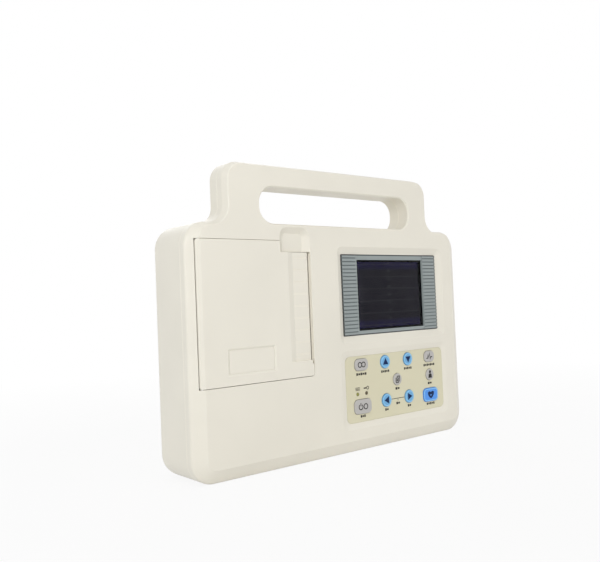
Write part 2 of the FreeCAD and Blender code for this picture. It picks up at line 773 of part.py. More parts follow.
MAIN_PILLARS = inner_corners(main_left, dim.main_board_bottom, main_right, main_top,
                             dim.pillar_inset)
POWER_PILLARS = inner_corners(power_left, dim.power_board_bottom, power_right, power_top,
                              dim.pillar_inset)
PAD_PILLARS = inner_corners(pad_left, dim.pad_bottom, pad_right, pad_top, dim.pillar_radius)


# Casing

def casing_loop(inset, band, corner):
    """The casing with its handle, its sides and base drawn in by inset, its shoulders and handle by band."""
    shoulder = dim.body_height - band
    base = dim.base_round - inset
    neck = dim.neck_round + band
    crown = dim.handle_round - band
    return [
        (left + inset, inset, base),
        (right - inset, inset, base),
        (right - inset, shoulder, corner),
        (handle_right - band, shoulder, neck),
        (handle_right - band, top - band, crown),
        (handle_left + band, top - band, crown),
        (handle_left + band, shoulder, neck),
        (left + inset, shoulder, corner),
    ]


def body_loop(inset):
    """The casing without its handle, drawn in by inset."""
    base = dim.base_round - inset
    shoulder = dim.shoulder_round - inset
    return [
        (left + inset, size(inset), base),
        (right - inset, size(inset), base),
        (right - inset, dim.body_height - inset, shoulder),
        (left + inset, dim.body_height - inset, shoulder),
    ]


def handle_loop(inset):
    """The handle on its foot strip, its posts and bar drawn in by inset."""
    neck = dim.neck_round + inset
    crown = dim.handle_round - inset
    return [
        (foot_left, foot_z, 0),
        (foot_right, foot_z, 0),
        (foot_right, dim.body_height, 0),
        (handle_right - inset, dim.body_height, neck),
        (handle_right - inset, top - inset, crown),
        (handle_left + inset, top - inset, crown),
        (handle_left + inset, dim.body_height, neck),
        (foot_left, dim.body_height, 0),
    ]


def hole_loop(grow, grow_below):
    """The grip hole, made larger at its sides and top, and below."""
    low = dim.body_height - grow_below
    low_round = dim.hole_round + grow_below
    top_round = dim.hole_round + grow
    return [
        (hole_left - grow, low, low_round),
        (hole_right + grow, low, low_round),
        (hole_right + grow, hole_top + grow, top_round),
        (hole_left - grow, hole_top + grow, top_round),
    ]


def handle_hollow():
    """The hollow of the handle: a bar over two posts."""
    inset = dim.handle_floor
    bottom = dim.body_height + dim.wall
    return [
        (handle_left + inset, bottom, 0),
        (hole_left - inset, bottom, 0),
        (hole_left - inset, hole_top + inset, 0),
        (hole_right + inset, hole_top + inset, 0),
        (hole_right + inset, bottom, 0),
        (handle_right - inset, bottom, 0),
        (handle_right - inset, top - inset, dim.handle_round - inset),
        (handle_left + inset, top - inset, dim.handle_round - inset),
    ]


def at_depth(plane_y):
    """A test for edges that lie at one depth."""
    def test(edge):
        limits = edge.BoundBox
        return abs(limits.YMin - plane_y.number) < 1e-4 and abs(limits.YMax - plane_y.number) < 1e-4
    return test


def front_blank():
    """The full front half before anything is cut from it: the door is taken from the same block."""
    piece = Piece("front_blank")
    band_y = deep(dim.bevel_depth)
    outside = casing_loop(size(0), size(0), dim.shoulder_round)
    inside = casing_loop(dim.bevel_width, dim.handle_band, dim.face_corner)
    piece.pad(piece.outline("seam_outline", "front", band_y, outside), dim.seam_depth - dim.bevel_depth)
    outer = piece.outline("band_outer", "front", band_y, outside)
    inner = piece.outline("band_inner", "front", front, inside)
    piece.loft("Additive", outer, inner)
    piece.soften("Fillet", at_depth(band_y), dim.bevel_outer_round)
    piece.soften("Fillet", at_depth(front), dim.bevel_inner_round)
    return piece.body


def front_cover(blank):
    """The front half: hollow behind, with the screen, keypad, door and grip openings."""
    piece = Piece("front_cover_shell", blank)
    seam_y = deep(dim.seam_depth)
    panel_y = deep(dim.front_wall)
    hollow = piece.outline("rim_hollow", "front", seam_y, body_loop(dim.wall))
    piece.pocket(hollow, dim.seam_depth - rim_depth, onward=False)
    hollow = piece.outline("panel_hollow", "front", deep(rim_depth), body_loop(dim.bevel_width))
    piece.pocket(hollow, rim_depth - dim.front_wall, onward=False)
    hollow = piece.outline("grip_hollow", "front", seam_y, handle_hollow())
    piece.pocket(hollow, dim.seam_depth - dim.handle_floor, onward=False)
    cut_grip_hole(piece, front, dim.seam_depth)
    mouth = piece.outline("grip_mouth", "front", front, hole_loop(dim.hole_band, dim.hole_band))
    throat = piece.outline("grip_throat", "front", deep(dim.hole_band), hole_loop(size(0), size(0)))
    piece.loft("Subtractive", mouth, throat)
    cut_screen_opening(piece)
    cut_keypad(piece)
    collar = [
        (open_left, tray_bottom, 0),
        (tray_right, tray_bottom, 0),
        (tray_right, scoop_top, 0),
        (open_left, scoop_top, dim.shoulder_round),
    ]
    piece.pad(piece.outline("door_collar", "front", panel_y, collar), rim_depth - dim.front_wall)
    piece.pocket(piece.outline("door_opening", "front", front, door_opening_loop()), rim_depth)
    cut_scoop(piece)
    add_front_bosses(piece)
    seats = [hinge_pin("lower_pin_seat", open_bottom - dim.pin_seat, dim.pin_seat),
             hinge_pin("upper_pin_seat", open_top, dim.pin_seat)]
    node(cut("front_cover_cut", piece.body, seats), "front_cover")


def hinge_pin(label, low, length):
    return bar(label, "z", (hinge_x, hinge_y, low), length, dim.hinge_pin_radius)


def cut_grip_hole(piece, start, length):
    piece.pocket(piece.outline("grip_hole", "front", start, hole_loop(size(0), size(0))), length)


def cut_screen_opening(piece):
    slope = dim.bezel_slope
    rim = rectangle(bezel_left - slope, dim.bezel_bottom - slope, bezel_right + slope, bezel_top + slope,
                    dim.rim_round)
    seat = rectangle(bezel_left, dim.bezel_bottom, bezel_right, bezel_top, dim.bezel_round)
    mouth = piece.outline("screen_rim", "front", front, rim)
    piece.loft("Subtractive", mouth, piece.outline("screen_seat", "front", bezel_y, seat))
    piece.pocket(piece.outline("screen_opening", "front", front, seat), dim.front_wall)


def cut_keypad(piece):
    slope = dim.pad_slope
    rim = rectangle(pad_left - slope, dim.pad_bottom - slope, pad_right + slope, pad_top + slope,
                    dim.rim_round)
    seat = rectangle(pad_left, dim.pad_bottom, pad_right, pad_top, dim.pad_round)
    mouth = piece.outline("keypad_rim", "front", front, rim)
    piece.loft("Subtractive", mouth, piece.outline("keypad_floor", "front", pad_y, seat))
    piece.pocket(piece.outline("keypad_seat", "front", pad_y, seat), dim.pad_sheet)
    piece.pocket(keypad_holes(piece, "key_holes", front), dim.front_wall)


def door_opening_loop():
    gap = dim.door_gap
    corner = dim.door_round + gap
    return [
        (open_left, open_bottom, 0),
        (open_right, open_bottom, corner),
        (open_right, strip_top + gap, 0),
        (notch_left + gap, strip_top + gap, 0),
        (notch_left + gap, open_top, 0),
        (open_left, open_top, 0),
    ]


def cut_scoop(piece):
    """The hollow for a finger, over the upper right corner of the door."""
    def loop(inset):
        corner = dim.scoop_round - inset
        return [
            (scoop_left + inset, strip_top, 0),
            (scoop_right - inset, strip_top, 0),
            (scoop_right - inset, scoop_top - inset, corner),
            (scoop_left + inset, scoop_top - inset, corner),
        ]
    mouth = piece.outline("scoop_mouth", "front", front, loop(size(0)))
    floor = piece.outline("scoop_floor", "front", deep(dim.scoop_depth), loop(dim.scoop_slope))
    piece.loft("Subtractive", mouth, floor)


def add_front_bosses(piece):
    """Screw bosses behind the front panel and in the handle, and pillars for the key board."""
    panel_y = deep(dim.front_wall)
    boss_y = deep(dim.boss_depth)
    seam_y = deep(dim.seam_depth)
    thread = dim.screw_length - dim.boss_floor + dim.thread_relief
    bosses = piece.circles("front_bosses", "front", panel_y, BODY_BOSSES, dim.boss_radius)
    piece.pad(bosses, dim.boss_depth - dim.front_wall)
    holes = piece.circles("front_threads", "front", boss_y, BODY_BOSSES, dim.screw_radius)
    piece.pocket(holes, thread, onward=False)
    floor_y = deep(dim.handle_floor)
    bosses = piece.circles("handle_bosses", "front", floor_y, HANDLE_BOSSES, dim.boss_radius)
    piece.pad(bosses, dim.seam_depth - dim.handle_floor)
    holes = piece.circles("handle_threads", "front", seam_y, HANDLE_BOSSES, dim.screw_radius)
    piece.pocket(holes, thread, onward=False)
    pillars = piece.circles("key_pillars", "front", panel_y, PAD_PILLARS, dim.pillar_radius)
    piece.pad(pillars, key_board_y - panel_y)
    threads = piece.circles("key_threads", "front", key_board_y, PAD_PILLARS, dim.board_screw_radius)
    piece.pocket(threads, dim.board_screw_length - dim.board_thickness, onward=False)


def rear_cover():
    """The back half: a deep shell, with a sunk seat on its shoulders for the back of the handle."""
    piece = Piece("rear_cover_shell")
    seam_y = deep(dim.seam_depth)
    piece.pad(piece.outline("rear_body", "front", seam_y, body_loop(size(0))),
              dim.body_depth - dim.seam_depth)
    piece.soften("Fillet", at_depth(back), dim.back_round)
    piece.soften("Chamfer", at_depth(seam_y), dim.seam_chamfer)
    hollow = piece.outline("rear_hollow", "front", seam_y, body_loop(dim.wall))
    piece.pocket(hollow, dim.body_depth - dim.wall - dim.seam_depth)
    piece.soften("Fillet", at_depth(back_inner), dim.back_round - dim.wall)
    seat = rectangle(foot_left, foot_z, foot_right, dim.body_height)
    piece.pocket(piece.outline("handle_seat", "front", seam_y, seat), dim.handle_depth - dim.seam_depth)
    add_screw_seats(piece, "rear", BODY_BOSSES, deep(dim.boss_depth), back_inner, back)
    add_rear_supports(piece)
    cut_battery_bay(piece)
    cut_vents(piece)
    cut_side_wall(piece)
    node(piece.body, "rear_cover")


def handle_back():
    """The back half of the handle: a hollow ring round the grip hole, on a strip sunk into the shoulders."""
    piece = Piece("handle_shell")
    seam_y = deep(dim.seam_depth)
    end_y = deep(dim.handle_depth)
    band_y = end_y - dim.handle_band
    piece.pad(piece.outline("handle_outline", "front", seam_y, handle_loop(size(0))), band_y - seam_y)
    outer = piece.outline("handle_band_outer", "front", band_y, handle_loop(size(0)))
    inner = piece.outline("handle_band_inner", "front", end_y, handle_loop(dim.handle_band))
    piece.loft("Additive", outer, inner)
    cut_grip_hole(piece, seam_y, dim.handle_depth - dim.seam_depth)
    throat = piece.outline("rear_throat", "front", end_y - dim.hole_band, hole_loop(size(0), size(0)))
    mouth = piece.outline("rear_mouth", "front", end_y, hole_loop(dim.hole_band, size(0)))
    piece.loft("Subtractive", throat, mouth)
    piece.soften("Chamfer", at_depth(seam_y), dim.seam_chamfer)
    hollow = piece.outline("rear_grip_hollow", "front", seam_y, handle_hollow())
    piece.pocket(hollow, dim.handle_depth - dim.handle_floor - dim.seam_depth)
    add_screw_seats(piece, "grip", HANDLE_BOSSES, seam_y, end_y - dim.handle_floor, end_y)
    node(piece.body, "handle_back")


def add_screw_seats(piece, name, spots, start, inner, outer):
    """Tubes that the casing screws go down: from where they meet the front bosses to an outer face."""
    seat_y = start + dim.boss_floor
    head = dim.screw_head + dim.screw_clearance
    shank = dim.screw_radius + dim.screw_clearance
    tubes = piece.circles(name + "_tubes", "front", start, spots, dim.boss_radius)
    piece.pad(tubes, inner - start)
    wells = piece.circles(name + "_wells", "front", outer, spots, head)
    piece.pocket(wells, outer - seat_y, onward=False)
    holes = piece.circles(name + "_holes", "front", seat_y, spots, shank)
    piece.pocket(holes, dim.boss_floor, onward=False)


def add_rear_supports(piece):
    """Board pillars, and ribs that hold the paper tray forward."""
    spots = MAIN_PILLARS + POWER_PILLARS
    pillars = piece.circles("board_pillars", "front", board_back, spots, dim.pillar_radius)
    piece.pad(pillars, dim.pillar_height)
    threads = piece.circles("board_threads", "front", board_back, spots, dim.board_screw_radius)
    piece.pocket(threads, dim.board_screw_length - dim.board_thickness)
    half = dim.tray_wall / 2
    low = tray_bottom + dim.rib_inset
    high = tray_top - dim.rib_inset
    ribs = piece.outline("tray_ribs", "front", tray_back,
                         rectangle(roll_x - half, low, roll_x + half, high),
                         rectangle(idler_x - half, low, idler_x + half, high))
    piece.pad(ribs, dim.tray_back_gap)


def battery_loop(grow):
    return rectangle(battery_left - grow, dim.battery_bottom - grow,
                     battery_right + grow, battery_top + grow)


def cut_battery_bay(piece):
    """Walls round the battery, its opening in the back and the ledge for its cover."""
    bay_y = cover_y - dim.battery_depth
    outer = battery_loop(dim.battery_gap + dim.bay_wall)
    bay = piece.outline("battery_bay", "front", bay_y, outer, battery_loop(dim.battery_gap))
    piece.pad(bay, back_inner - bay_y)
    opening = piece.outline("battery_opening", "front", back_inner, battery_loop(dim.battery_gap))
    piece.pocket(opening, dim.wall)
    ledge = piece.outline("battery_ledge", "front", cover_y, battery_loop(dim.battery_gap + dim.cover_lap))
    piece.pocket(ledge, dim.cover_thickness)


def cut_vents(piece):
    """Slots in the back, behind the power board."""
    span = dim.vent_pitch * (dim.vent_count - 1)
    middle = (power_left + power_right) / 2
    start = middle - span / 2
    low = (dim.power_board_bottom + power_top - dim.vent_height) / 2
    half = dim.vent_width / 2
    slot = rectangle(start - half, low, start + half, low + dim.vent_height)
    first = piece.pocket(piece.outline("vent_slot", "front", back_inner, slot), dim.wall)
    piece.repeat(first, "X_Axis", span, dim.vent_count)


def shell_points(grow):
    """The D-shaped shell of the patient socket, seen from the side."""
    half = dim.shell_width / 2 + grow
    long_half = dim.shell_long / 2 + grow
    short_half = dim.shell_short / 2 + grow
    return [
        (fitting_y - half, dim.socket_row - long_half),
        (fitting_y + half, dim.socket_row - short_half),
        (fitting_y + half, dim.socket_row + short_half),
        (fitting_y - half, dim.socket_row + long_half),
    ]


def fitting_loop(row, height, depth, grow, radius=0):
    """A rectangle about the line of side fittings, seen from the side."""
    half_depth = depth / 2 + grow
    half_height = height / 2 + grow
    return rectangle(fitting_y - half_depth, row - half_height,
                     fitting_y + half_depth, row + half_height, radius)


POSTS = [(fitting_y, dim.socket_row - dim.post_spacing / 2),
         (fitting_y, dim.socket_row + dim.post_spacing / 2)]


def plate_loop(grow):
    """The plate for the side fittings, seen from the side."""
    half_depth = dim.plate_depth / 2 + grow
    plate_top = dim.plate_bottom + dim.plate_height
    return rectangle(fitting_y - half_depth, dim.plate_bottom - grow, fitting_y + half_depth, plate_top + grow,
                     dim.plate_round)


def cut_side_wall(piece):
    """The opening for the plate, and the hole of the ground terminal under it."""
    piece.pocket(piece.outline("plate_opening", "side", right, plate_loop(size(0))), dim.wall, onward=False)
    stud = piece.circles("stud_hole", "side", right, [(fitting_y, dim.stud_row)], dim.stud_shank_radius)
    piece.pocket(stud, dim.wall, onward=False)


def side_panel():
    """The plate for the side fittings, flush with the wall, with a rim behind it."""
    piece = Piece("side_plate")
    rim_x = wall_inner - dim.plate_rim
    piece.pad(piece.outline("plate_back", "side", rim_x, plate_loop(dim.plate_lap)), dim.plate_rim)
    piece.pad(piece.outline("plate_face", "side", wall_inner, plate_loop(-dim.slip_gap)), dim.wall)
    piece.pocket(piece.outline("plate_hollow", "side", rim_x, plate_loop(-dim.plate_lap)), dim.plate_rim)
    holes = piece.outline("side_holes", "side", right,
                          fitting_loop(dim.inlet_row, dim.inlet_height, dim.inlet_depth, size(0)),
                          fitting_loop(dim.switch_row, dim.switch_height, dim.switch_depth, size(0)))
    piece.pocket(holes, dim.wall, onward=False)
    shell = piece.polygon("shell_hole", "side", right, shell_points(dim.shell_gap))
    piece.pocket(shell, dim.wall, onward=False)
    posts = piece.circles("post_holes", "side", right, POSTS, dim.post_shank)
    piece.pocket(posts, dim.wall, onward=False)
    node(piece.body, "side_panel")


def screw(label, spot, direction, length, radius, head_radius, head_height):
    """A pan-head screw along Y: the spot is under its head, and direction is where its shank points."""
    x, y, z = spot
    shank_y = y if direction > 0 else y - length
    head_y = y - head_height if direction > 0 else y
    shank = bar(label + "_shank", "y", (x, shank_y, z), length, radius)
    head = bar(label + "_head", "y", (x, head_y, z), head_height, head_radius)
    return fuse(label, [shank, head])


def casing_screws():
    screws = []
    for spots, under in ((BODY_BOSSES, deep(dim.boss_depth)), (HANDLE_BOSSES, deep(dim.seam_depth))):
        for x, z in spots:
            spot = (x, under + dim.boss_floor, z)
            screws.append(screw("casing_screw", spot, -1, dim.screw_length, dim.screw_radius, dim.screw_head,
                                dim.screw_head_height))
    node(group("casing_screw_set", screws), "casing_screws")


def rear_feet():
    high = dim.body_height - dim.foot_up
    spots = [(left + dim.foot_left_low, dim.foot_up), (right - dim.foot_side, dim.foot_up),
             (left + dim.foot_side, high), (right - dim.foot_side, high)]
    feet = [bar("rear_foot", "y", (x, back, z), dim.rear_foot_height, dim.foot_radius) for x, z in spots]
    node(group("rear_foot_set", feet), "rear_feet")


def battery():
    bay_y = cover_y - dim.battery_depth
    pack = box("battery_block", (battery_left, bay_y, dim.battery_bottom),
               (battery_right, cover_y, battery_top))
    node(pack, "battery_pack")
    grow = dim.battery_gap + dim.cover_lap - dim.slip_gap
    piece = Piece("battery_cover_plate")
    outline = piece.outline("cover_outline", "front", cover_y, battery_loop(grow))
    piece.pad(outline, dim.cover_thickness)
    middle = (battery_left + battery_right) / 2
    half = dim.cover_grip_width / 2
    low = battery_top - dim.cover_grip_drop
    grips = [rectangle(middle - half, low - dim.cover_grip_pitch * n, middle + half,
                       low - dim.cover_grip_pitch * n + dim.cover_grip_groove)
             for n in range(COVER_GRIPS)]
    grooves = piece.outline("cover_grips", "front", back, *grips)
    piece.pocket(grooves, dim.cover_grip_depth, onward=False)
    node(piece.body, "battery_cover")


# Paper door and what it carries

def door_loop():
    corner = dim.door_round
    return [
        (door_left, dim.door_bottom, corner),
        (door_right, dim.door_bottom, corner),
        (door_right, strip_bottom, 0),
        (strip_right, strip_bottom, 0),
        (strip_right, strip_top, 0),
        (notch_left, strip_top, 0),
        (notch_left, door_top, 0),
        (door_left, door_top, corner),
    ]


def paper_door(blank):
    """The door, cut from the same block as the front cover so that their faces run on."""
    block = Piece("door_block")
    block.pad(block.outline("door_outline", "front", front, door_loop()), dim.door_wall)
    plate = doc.addObject("Part::Common", "door_plate")
    plate.Base = blank
    plate.Tool = block.body
    doc.recompute()
    piece = Piece("door_shell", plate)
    strip_low = strip_bottom + dim.strip_end
    backing = rectangle(channel_left - dim.strip_backing, strip_bottom, strip_right, strip_top)
    outline = piece.outline("strip_backing", "front", deep(dim.door_wall), backing)
    piece.pad(outline, dim.strip_backing)
    add_platen_arms(piece)
    channel = [(channel_left, front), (strip_left, deep(dim.strip_recess)),
               (door_right, deep(dim.strip_recess)), (door_right, front)]
    piece.pocket(piece.polygon("strip_channel", "level", strip_low, channel), strip_top - strip_low)
    groove_low = strip_low + dim.groove_pitch / 2
    groove = rectangle(strip_left, groove_low, strip_right, groove_low + dim.groove_width)
    outline = piece.outline("strip_groove", "front", deep(dim.strip_recess), groove)
    first = piece.pocket(outline, dim.groove_depth)
    piece.repeat(first, "Z_Axis", dim.groove_pitch * (dim.groove_count - 1), dim.groove_count)
    cut_scoop(piece)
    rim = piece.outline("label_rim", "front", front, label_loop(size(0)))
    floor = piece.outline("label_floor", "front", label_y, label_loop(dim.label_slope))
    piece.loft("Subtractive", rim, floor)
    seat = piece.outline("label_seat", "front", label_y, label_loop(dim.label_slope))
    piece.pocket(seat, dim.label_thickness)
    knuckles = [bar("knuckle", "z", (hinge_x, hinge_y, low), dim.knuckle_length, dim.hinge_inset)
                for low in (dim.door_bottom, door_top - dim.knuckle_length)]
    whole = fuse("door_whole", [piece.body] + knuckles)
    bore = dim.hinge_pin_radius + dim.running_clearance
    bores = [bar("hinge_bore", "z", (hinge_x, hinge_y, dim.door_bottom), dim.door_height, bore)]
    for low in (arm_low - dim.arm_thickness, arm_high):
        bores.append(bar("bush_bore", "z", (platen_x, platen_y, low), dim.arm_thickness, dim.bush_radius))
    node(cut("door_cut", whole, bores), "paper_door")


def add_platen_arms(piece):
    half = dim.arm_width / 2
    arm = rectangle(platen_x - half, deep(dim.door_wall), platen_x + half, platen_y + dim.arm_reach)
    for name, low in (("lower_arm", arm_low - dim.arm_thickness), ("upper_arm", arm_high)):
        piece.pad(piece.outline(name, "level", low, arm), dim.arm_thickness)


def label_loop(inset):
    low = dim.door_bottom + dim.label_bottom
    start = door_left + dim.label_left
    return rectangle(start + inset, low + inset,
                     start + dim.label_width - inset, low + dim.label_height - inset)


def door_fittings():
    piece = Piece("label_sheet")
    outline = piece.outline("label_outline", "front", label_y, label_loop(dim.label_slope + dim.slip_gap))
    piece.pad(outline, dim.label_thickness)
    node(piece.body, "label_plate")
    length = dim.pin_seat + dim.door_gap + dim.knuckle_length
    pins = [hinge_pin("lower_pin", open_bottom - dim.pin_seat, length),
            hinge_pin("upper_pin", open_top + dim.pin_seat - length, length)]
    node(group("hinge_pin_set", pins), "door_hinge_pins")
    bushes = []
    for low in (arm_low - dim.arm_thickness, arm_high):
        spot = (platen_x, platen_y, low)
        sleeve = bar("bush_sleeve", "z", spot, dim.arm_thickness, dim.bush_radius)
        bore = bar("bush_hole", "z", spot, dim.arm_thickness, dim.shaft_radius + dim.running_clearance)
        bushes.append(cut("platen_bush", sleeve, [bore]))
    node(group("platen_bush_set", bushes), "platen_bushes")


# Paper drive

def gear_solid(teeth, x, y, turn):
    """A spur gear on an upright axis, turned so that its teeth mesh with its neighbour."""
    wire = fcgear.FCWireBuilder()
    involute.CreateExternalGear(wire, dim.gear_module.number, int(teeth.number), PRESSURE_ANGLE, True)
    outline = Part.Wire([edge.toShape() for edge in wire.wire])
    solid = Part.Face(outline).extrude(Vector(0, 0, dim.gear_width.number))
    solid.rotate(Vector(), Vector(0, 0, 1), turn)
    solid.translate(Vector(x.number, y.number, gear_low.number))
    return solid


def round_solid(x, y, low, length, radius):
    return Part.makeCylinder(radius.number, length.number, Vector(x.number, y.number, low.number))


def gear_feature(label, shape):
    feature = doc.addObject("Part::Feature", label)
    feature.Shape = shape
    feature.Placement = Placement()
    node(feature, label)


def mesh_turn(driver_turn, driver_teeth, teeth, bearing):
    """The turn of a gear whose gap faces the tooth of its driver, along a bearing in degrees."""
    driver_phase = (bearing - driver_turn) * driver_teeth.number
    return bearing + 180 + (driver_phase + 180) / teeth.number


def gears():
    """The gears on the platen, the idler and the motor shaft."""
    to_idler = 90 + dim.idler_angle.number
    to_pinion = 90 + dim.pinion_angle.number
    idler_turn = mesh_turn(0, dim.platen_teeth, dim.idler_teeth, to_idler)
    pinion_turn = mesh_turn(idler_turn, dim.idler_teeth, dim.pinion_teeth, to_pinion)
    shaft = round_solid(platen_x, platen_y, gear_low, dim.gear_width, dim.shaft_radius)
    gear_feature("platen_gear", gear_solid(dim.platen_teeth, platen_x, platen_y, 0).cut(shaft))
    bore = dim.idler_axle_radius + dim.running_clearance
    axle = round_solid(idler_x, idler_y, gear_low, dim.gear_width, bore)
    gear_feature("idler_gear", gear_solid(dim.idler_teeth, idler_x, idler_y, idler_turn).cut(axle))
    shaft_low = tray_bottom - dim.motor_shaft_reach
    shaft = round_solid(pinion_x, pinion_y, shaft_low, gear_top - shaft_low, dim.motor_shaft_radius)
    gear_feature("motor_pinion", gear_solid(dim.pinion_teeth, pinion_x, pinion_y, pinion_turn).fuse(shaft))


def platen():
    low = gear_low - dim.shaft_over
    high = arm_high + dim.arm_thickness + dim.shaft_over
    node(bar("platen_rod", "z", (platen_x, platen_y, low), high - low, dim.shaft_radius), "platen_shaft")
    spot = (platen_x, platen_y, platen_low)
    sleeve = bar("rubber_sleeve", "z", spot, dim.platen_length, dim.platen_radius)
    bore = bar("rubber_bore", "z", spot, dim.platen_length, dim.shaft_radius)
    node(cut("rubber_cut", sleeve, [bore]), "platen_rubber")


def motor():
    """The stepper motor under the paper tray, and the idler's axle. Gives back the motor's two screws."""
    plate_low = tray_bottom - dim.motor_plate
    can = bar("motor_can", "z", (pinion_x, pinion_y, plate_low - dim.motor_height), dim.motor_height,
              dim.motor_radius)
    ear = dim.motor_ear_reach + dim.board_screw_head
    plate = box("motor_ears", (pinion_x - ear, pinion_y - dim.motor_ear_half, plate_low),
                (pinion_x + ear, pinion_y + dim.motor_ear_half, tray_bottom))
    boss = bar("motor_boss", "z", (pinion_x, pinion_y, plate_low), dim.motor_plate + dim.tray_wall,
               dim.motor_boss_radius)
    shaft_low = tray_bottom - dim.motor_shaft_reach
    bore = bar("motor_bore", "z", (pinion_x, pinion_y, shaft_low - dim.running_clearance),
               gear_top - shaft_low, dim.motor_shaft_radius + dim.running_clearance)
    ears = [pinion_x - dim.motor_ear_reach, pinion_x + dim.motor_ear_reach]
    holes = [bar("motor_hole", "z", (x, pinion_y, plate_low), dim.motor_plate, dim.board_screw_radius)
             for x in ears]
    node(cut("motor_cut", fuse("motor_whole", [can, plate, boss]), [bore] + holes), "stepper_motor")
    axle_high = gear_top + dim.shaft_over
    axle_spot = (idler_x, idler_y, tray_bottom)
    node(bar("idler_rod", "z", axle_spot, axle_high - tray_bottom, dim.idler_axle_radius), "idler_axle")
    screws = []
    for x in ears:
        shank = bar("motor_shank", "z", (x, pinion_y, plate_low), dim.motor_plate + dim.tray_wall,
                    dim.board_screw_radius)
        head = bar("motor_head", "z", (x, pinion_y, plate_low - dim.motor_plate), dim.motor_plate,
                   dim.board_screw_head)
        screws.append(fuse("motor_screw", [shank, head]))
    return screws


# Paper

spindle_low = paper_middle - dim.paper_width / 2 - dim.spindle_over
spindle_high = paper_middle + dim.paper_width / 2 + dim.spindle_over


def cradle(label, low):
    """An upright plate with a slot that a spindle end drops into."""
    half = dim.cradle_width / 2
    high = low + dim.cradle_thickness
    slot = dim.journal_radius + dim.running_clearance
    mouth = roll_y - dim.cradle_rise
    plate = box(label, (roll_x - half, mouth, low), (roll_x + half, tray_floor, high))
    notch = box(label + "_notch", (roll_x - slot, mouth, low), (roll_x + slot, roll_y, high))
    seat = bar(label + "_seat", "z", (roll_x, roll_y, low), dim.cradle_thickness, slot)
    return cut(label + "_cut", plate, [notch, seat])


def paper_tray():
    """The tub behind the door, with the spindle's cradles and the seats of the idler and the motor."""
    piece = Piece("tray_shell")
    rim_y = deep(rim_depth)
    outside = rectangle(tray_left, tray_bottom, tray_right, tray_top)
    piece.pad(piece.outline("tray_outer", "front", rim_y, outside), tray_back - rim_y)
    inside = rectangle(open_left, open_bottom, open_right, open_top)
    piece.pocket(piece.outline("tray_inner", "front", rim_y, inside), tray_floor - rim_y)
    low_cradle = spindle_low - dim.cradle_gap - dim.cradle_thickness
    cradles = [cradle("lower_cradle", low_cradle), cradle("upper_cradle", spindle_high + dim.cradle_gap)]
    boss_high = gear_low - dim.gear_gap
    boss = bar("idler_boss", "z", (idler_x, idler_y, open_bottom), boss_high - open_bottom, dim.pillar_radius)
    whole = fuse("tray_whole", [piece.body] + cradles + [boss])
    holes = [
        bar("axle_hole", "z", (idler_x, idler_y, tray_bottom), boss_high - tray_bottom,
            dim.idler_axle_radius),
        bar("boss_hole", "z", (pinion_x, pinion_y, tray_bottom), dim.tray_wall, dim.motor_boss_radius),
    ]
    for x in (pinion_x - dim.motor_ear_reach, pinion_x + dim.motor_ear_reach):
        spot = (x, pinion_y, tray_bottom)
        holes.append(bar("ear_hole", "z", spot, dim.tray_wall, dim.board_screw_radius))
    node(cut("tray_cut", whole, holes), "paper_tray")


def paper():
    low = paper_middle - dim.paper_width / 2
    wound = bar("wound_paper", "z", (roll_x, roll_y, low), dim.paper_width, dim.roll_radius)
    core = bar("core_bore", "z", (roll_x, roll_y, low), dim.paper_width, dim.spindle_radius)
    node(cut("roll_cut", wound, [core]), "paper_roll")
    length = spindle_high - spindle_low
    barrel = bar("spindle_barrel", "z", (roll_x, roll_y, spindle_low), length, dim.spindle_radius)
    journal = bar("spindle_journal", "z", (roll_x, roll_y, spindle_low - dim.journal_length),
                  length + dim.journal_length * 2, dim.journal_radius)
    node(fuse("spindle_whole", [barrel, journal]), "paper_spindle")


# Print head

head_y = platen_y + dim.platen_radius + dim.paper_gap
sink_y = head_y + dim.head_thickness
sink_back = sink_y + dim.sink_thickness
head_low = paper_middle - dim.head_length / 2
head_high = paper_middle + dim.head_length / 2
pivot_x = platen_x - dim.pivot_reach
pivot_y = sink_y + dim.sink_thickness / 2
cheek_low = head_low - dim.bracket_gap - dim.bracket_sheet
cheek_high = head_high + dim.bracket_gap
bracket_y = sink_back + dim.spring_length


def print_head():
    half = dim.head_width / 2
    node(box("head_strip", (platen_x - half, head_y, head_low), (platen_x + half, sink_y, head_high)),
         "print_head")
    sink = box("sink_bar", (platen_x - half, sink_y, head_low), (platen_x + half, sink_back, head_high))
    parts = [sink]
    bores = []
    for low in (head_low, head_high - dim.lug_length):
        spot = (pivot_x, pivot_y, low)
        parts.append(bar("sink_lug", "z", spot, dim.lug_length, dim.lug_radius))
        parts.append(box("sink_arm", (pivot_x, pivot_y - dim.lug_radius / 2, low),
                         (platen_x - half, pivot_y + dim.lug_radius / 2, low + dim.lug_length)))
        bore = dim.pivot_radius + dim.running_clearance
        bores.append(bar("lug_bore", "z", spot, dim.lug_length, bore))
    node(cut("sink_cut", fuse("sink_whole", parts), bores), "head_heat_sink")


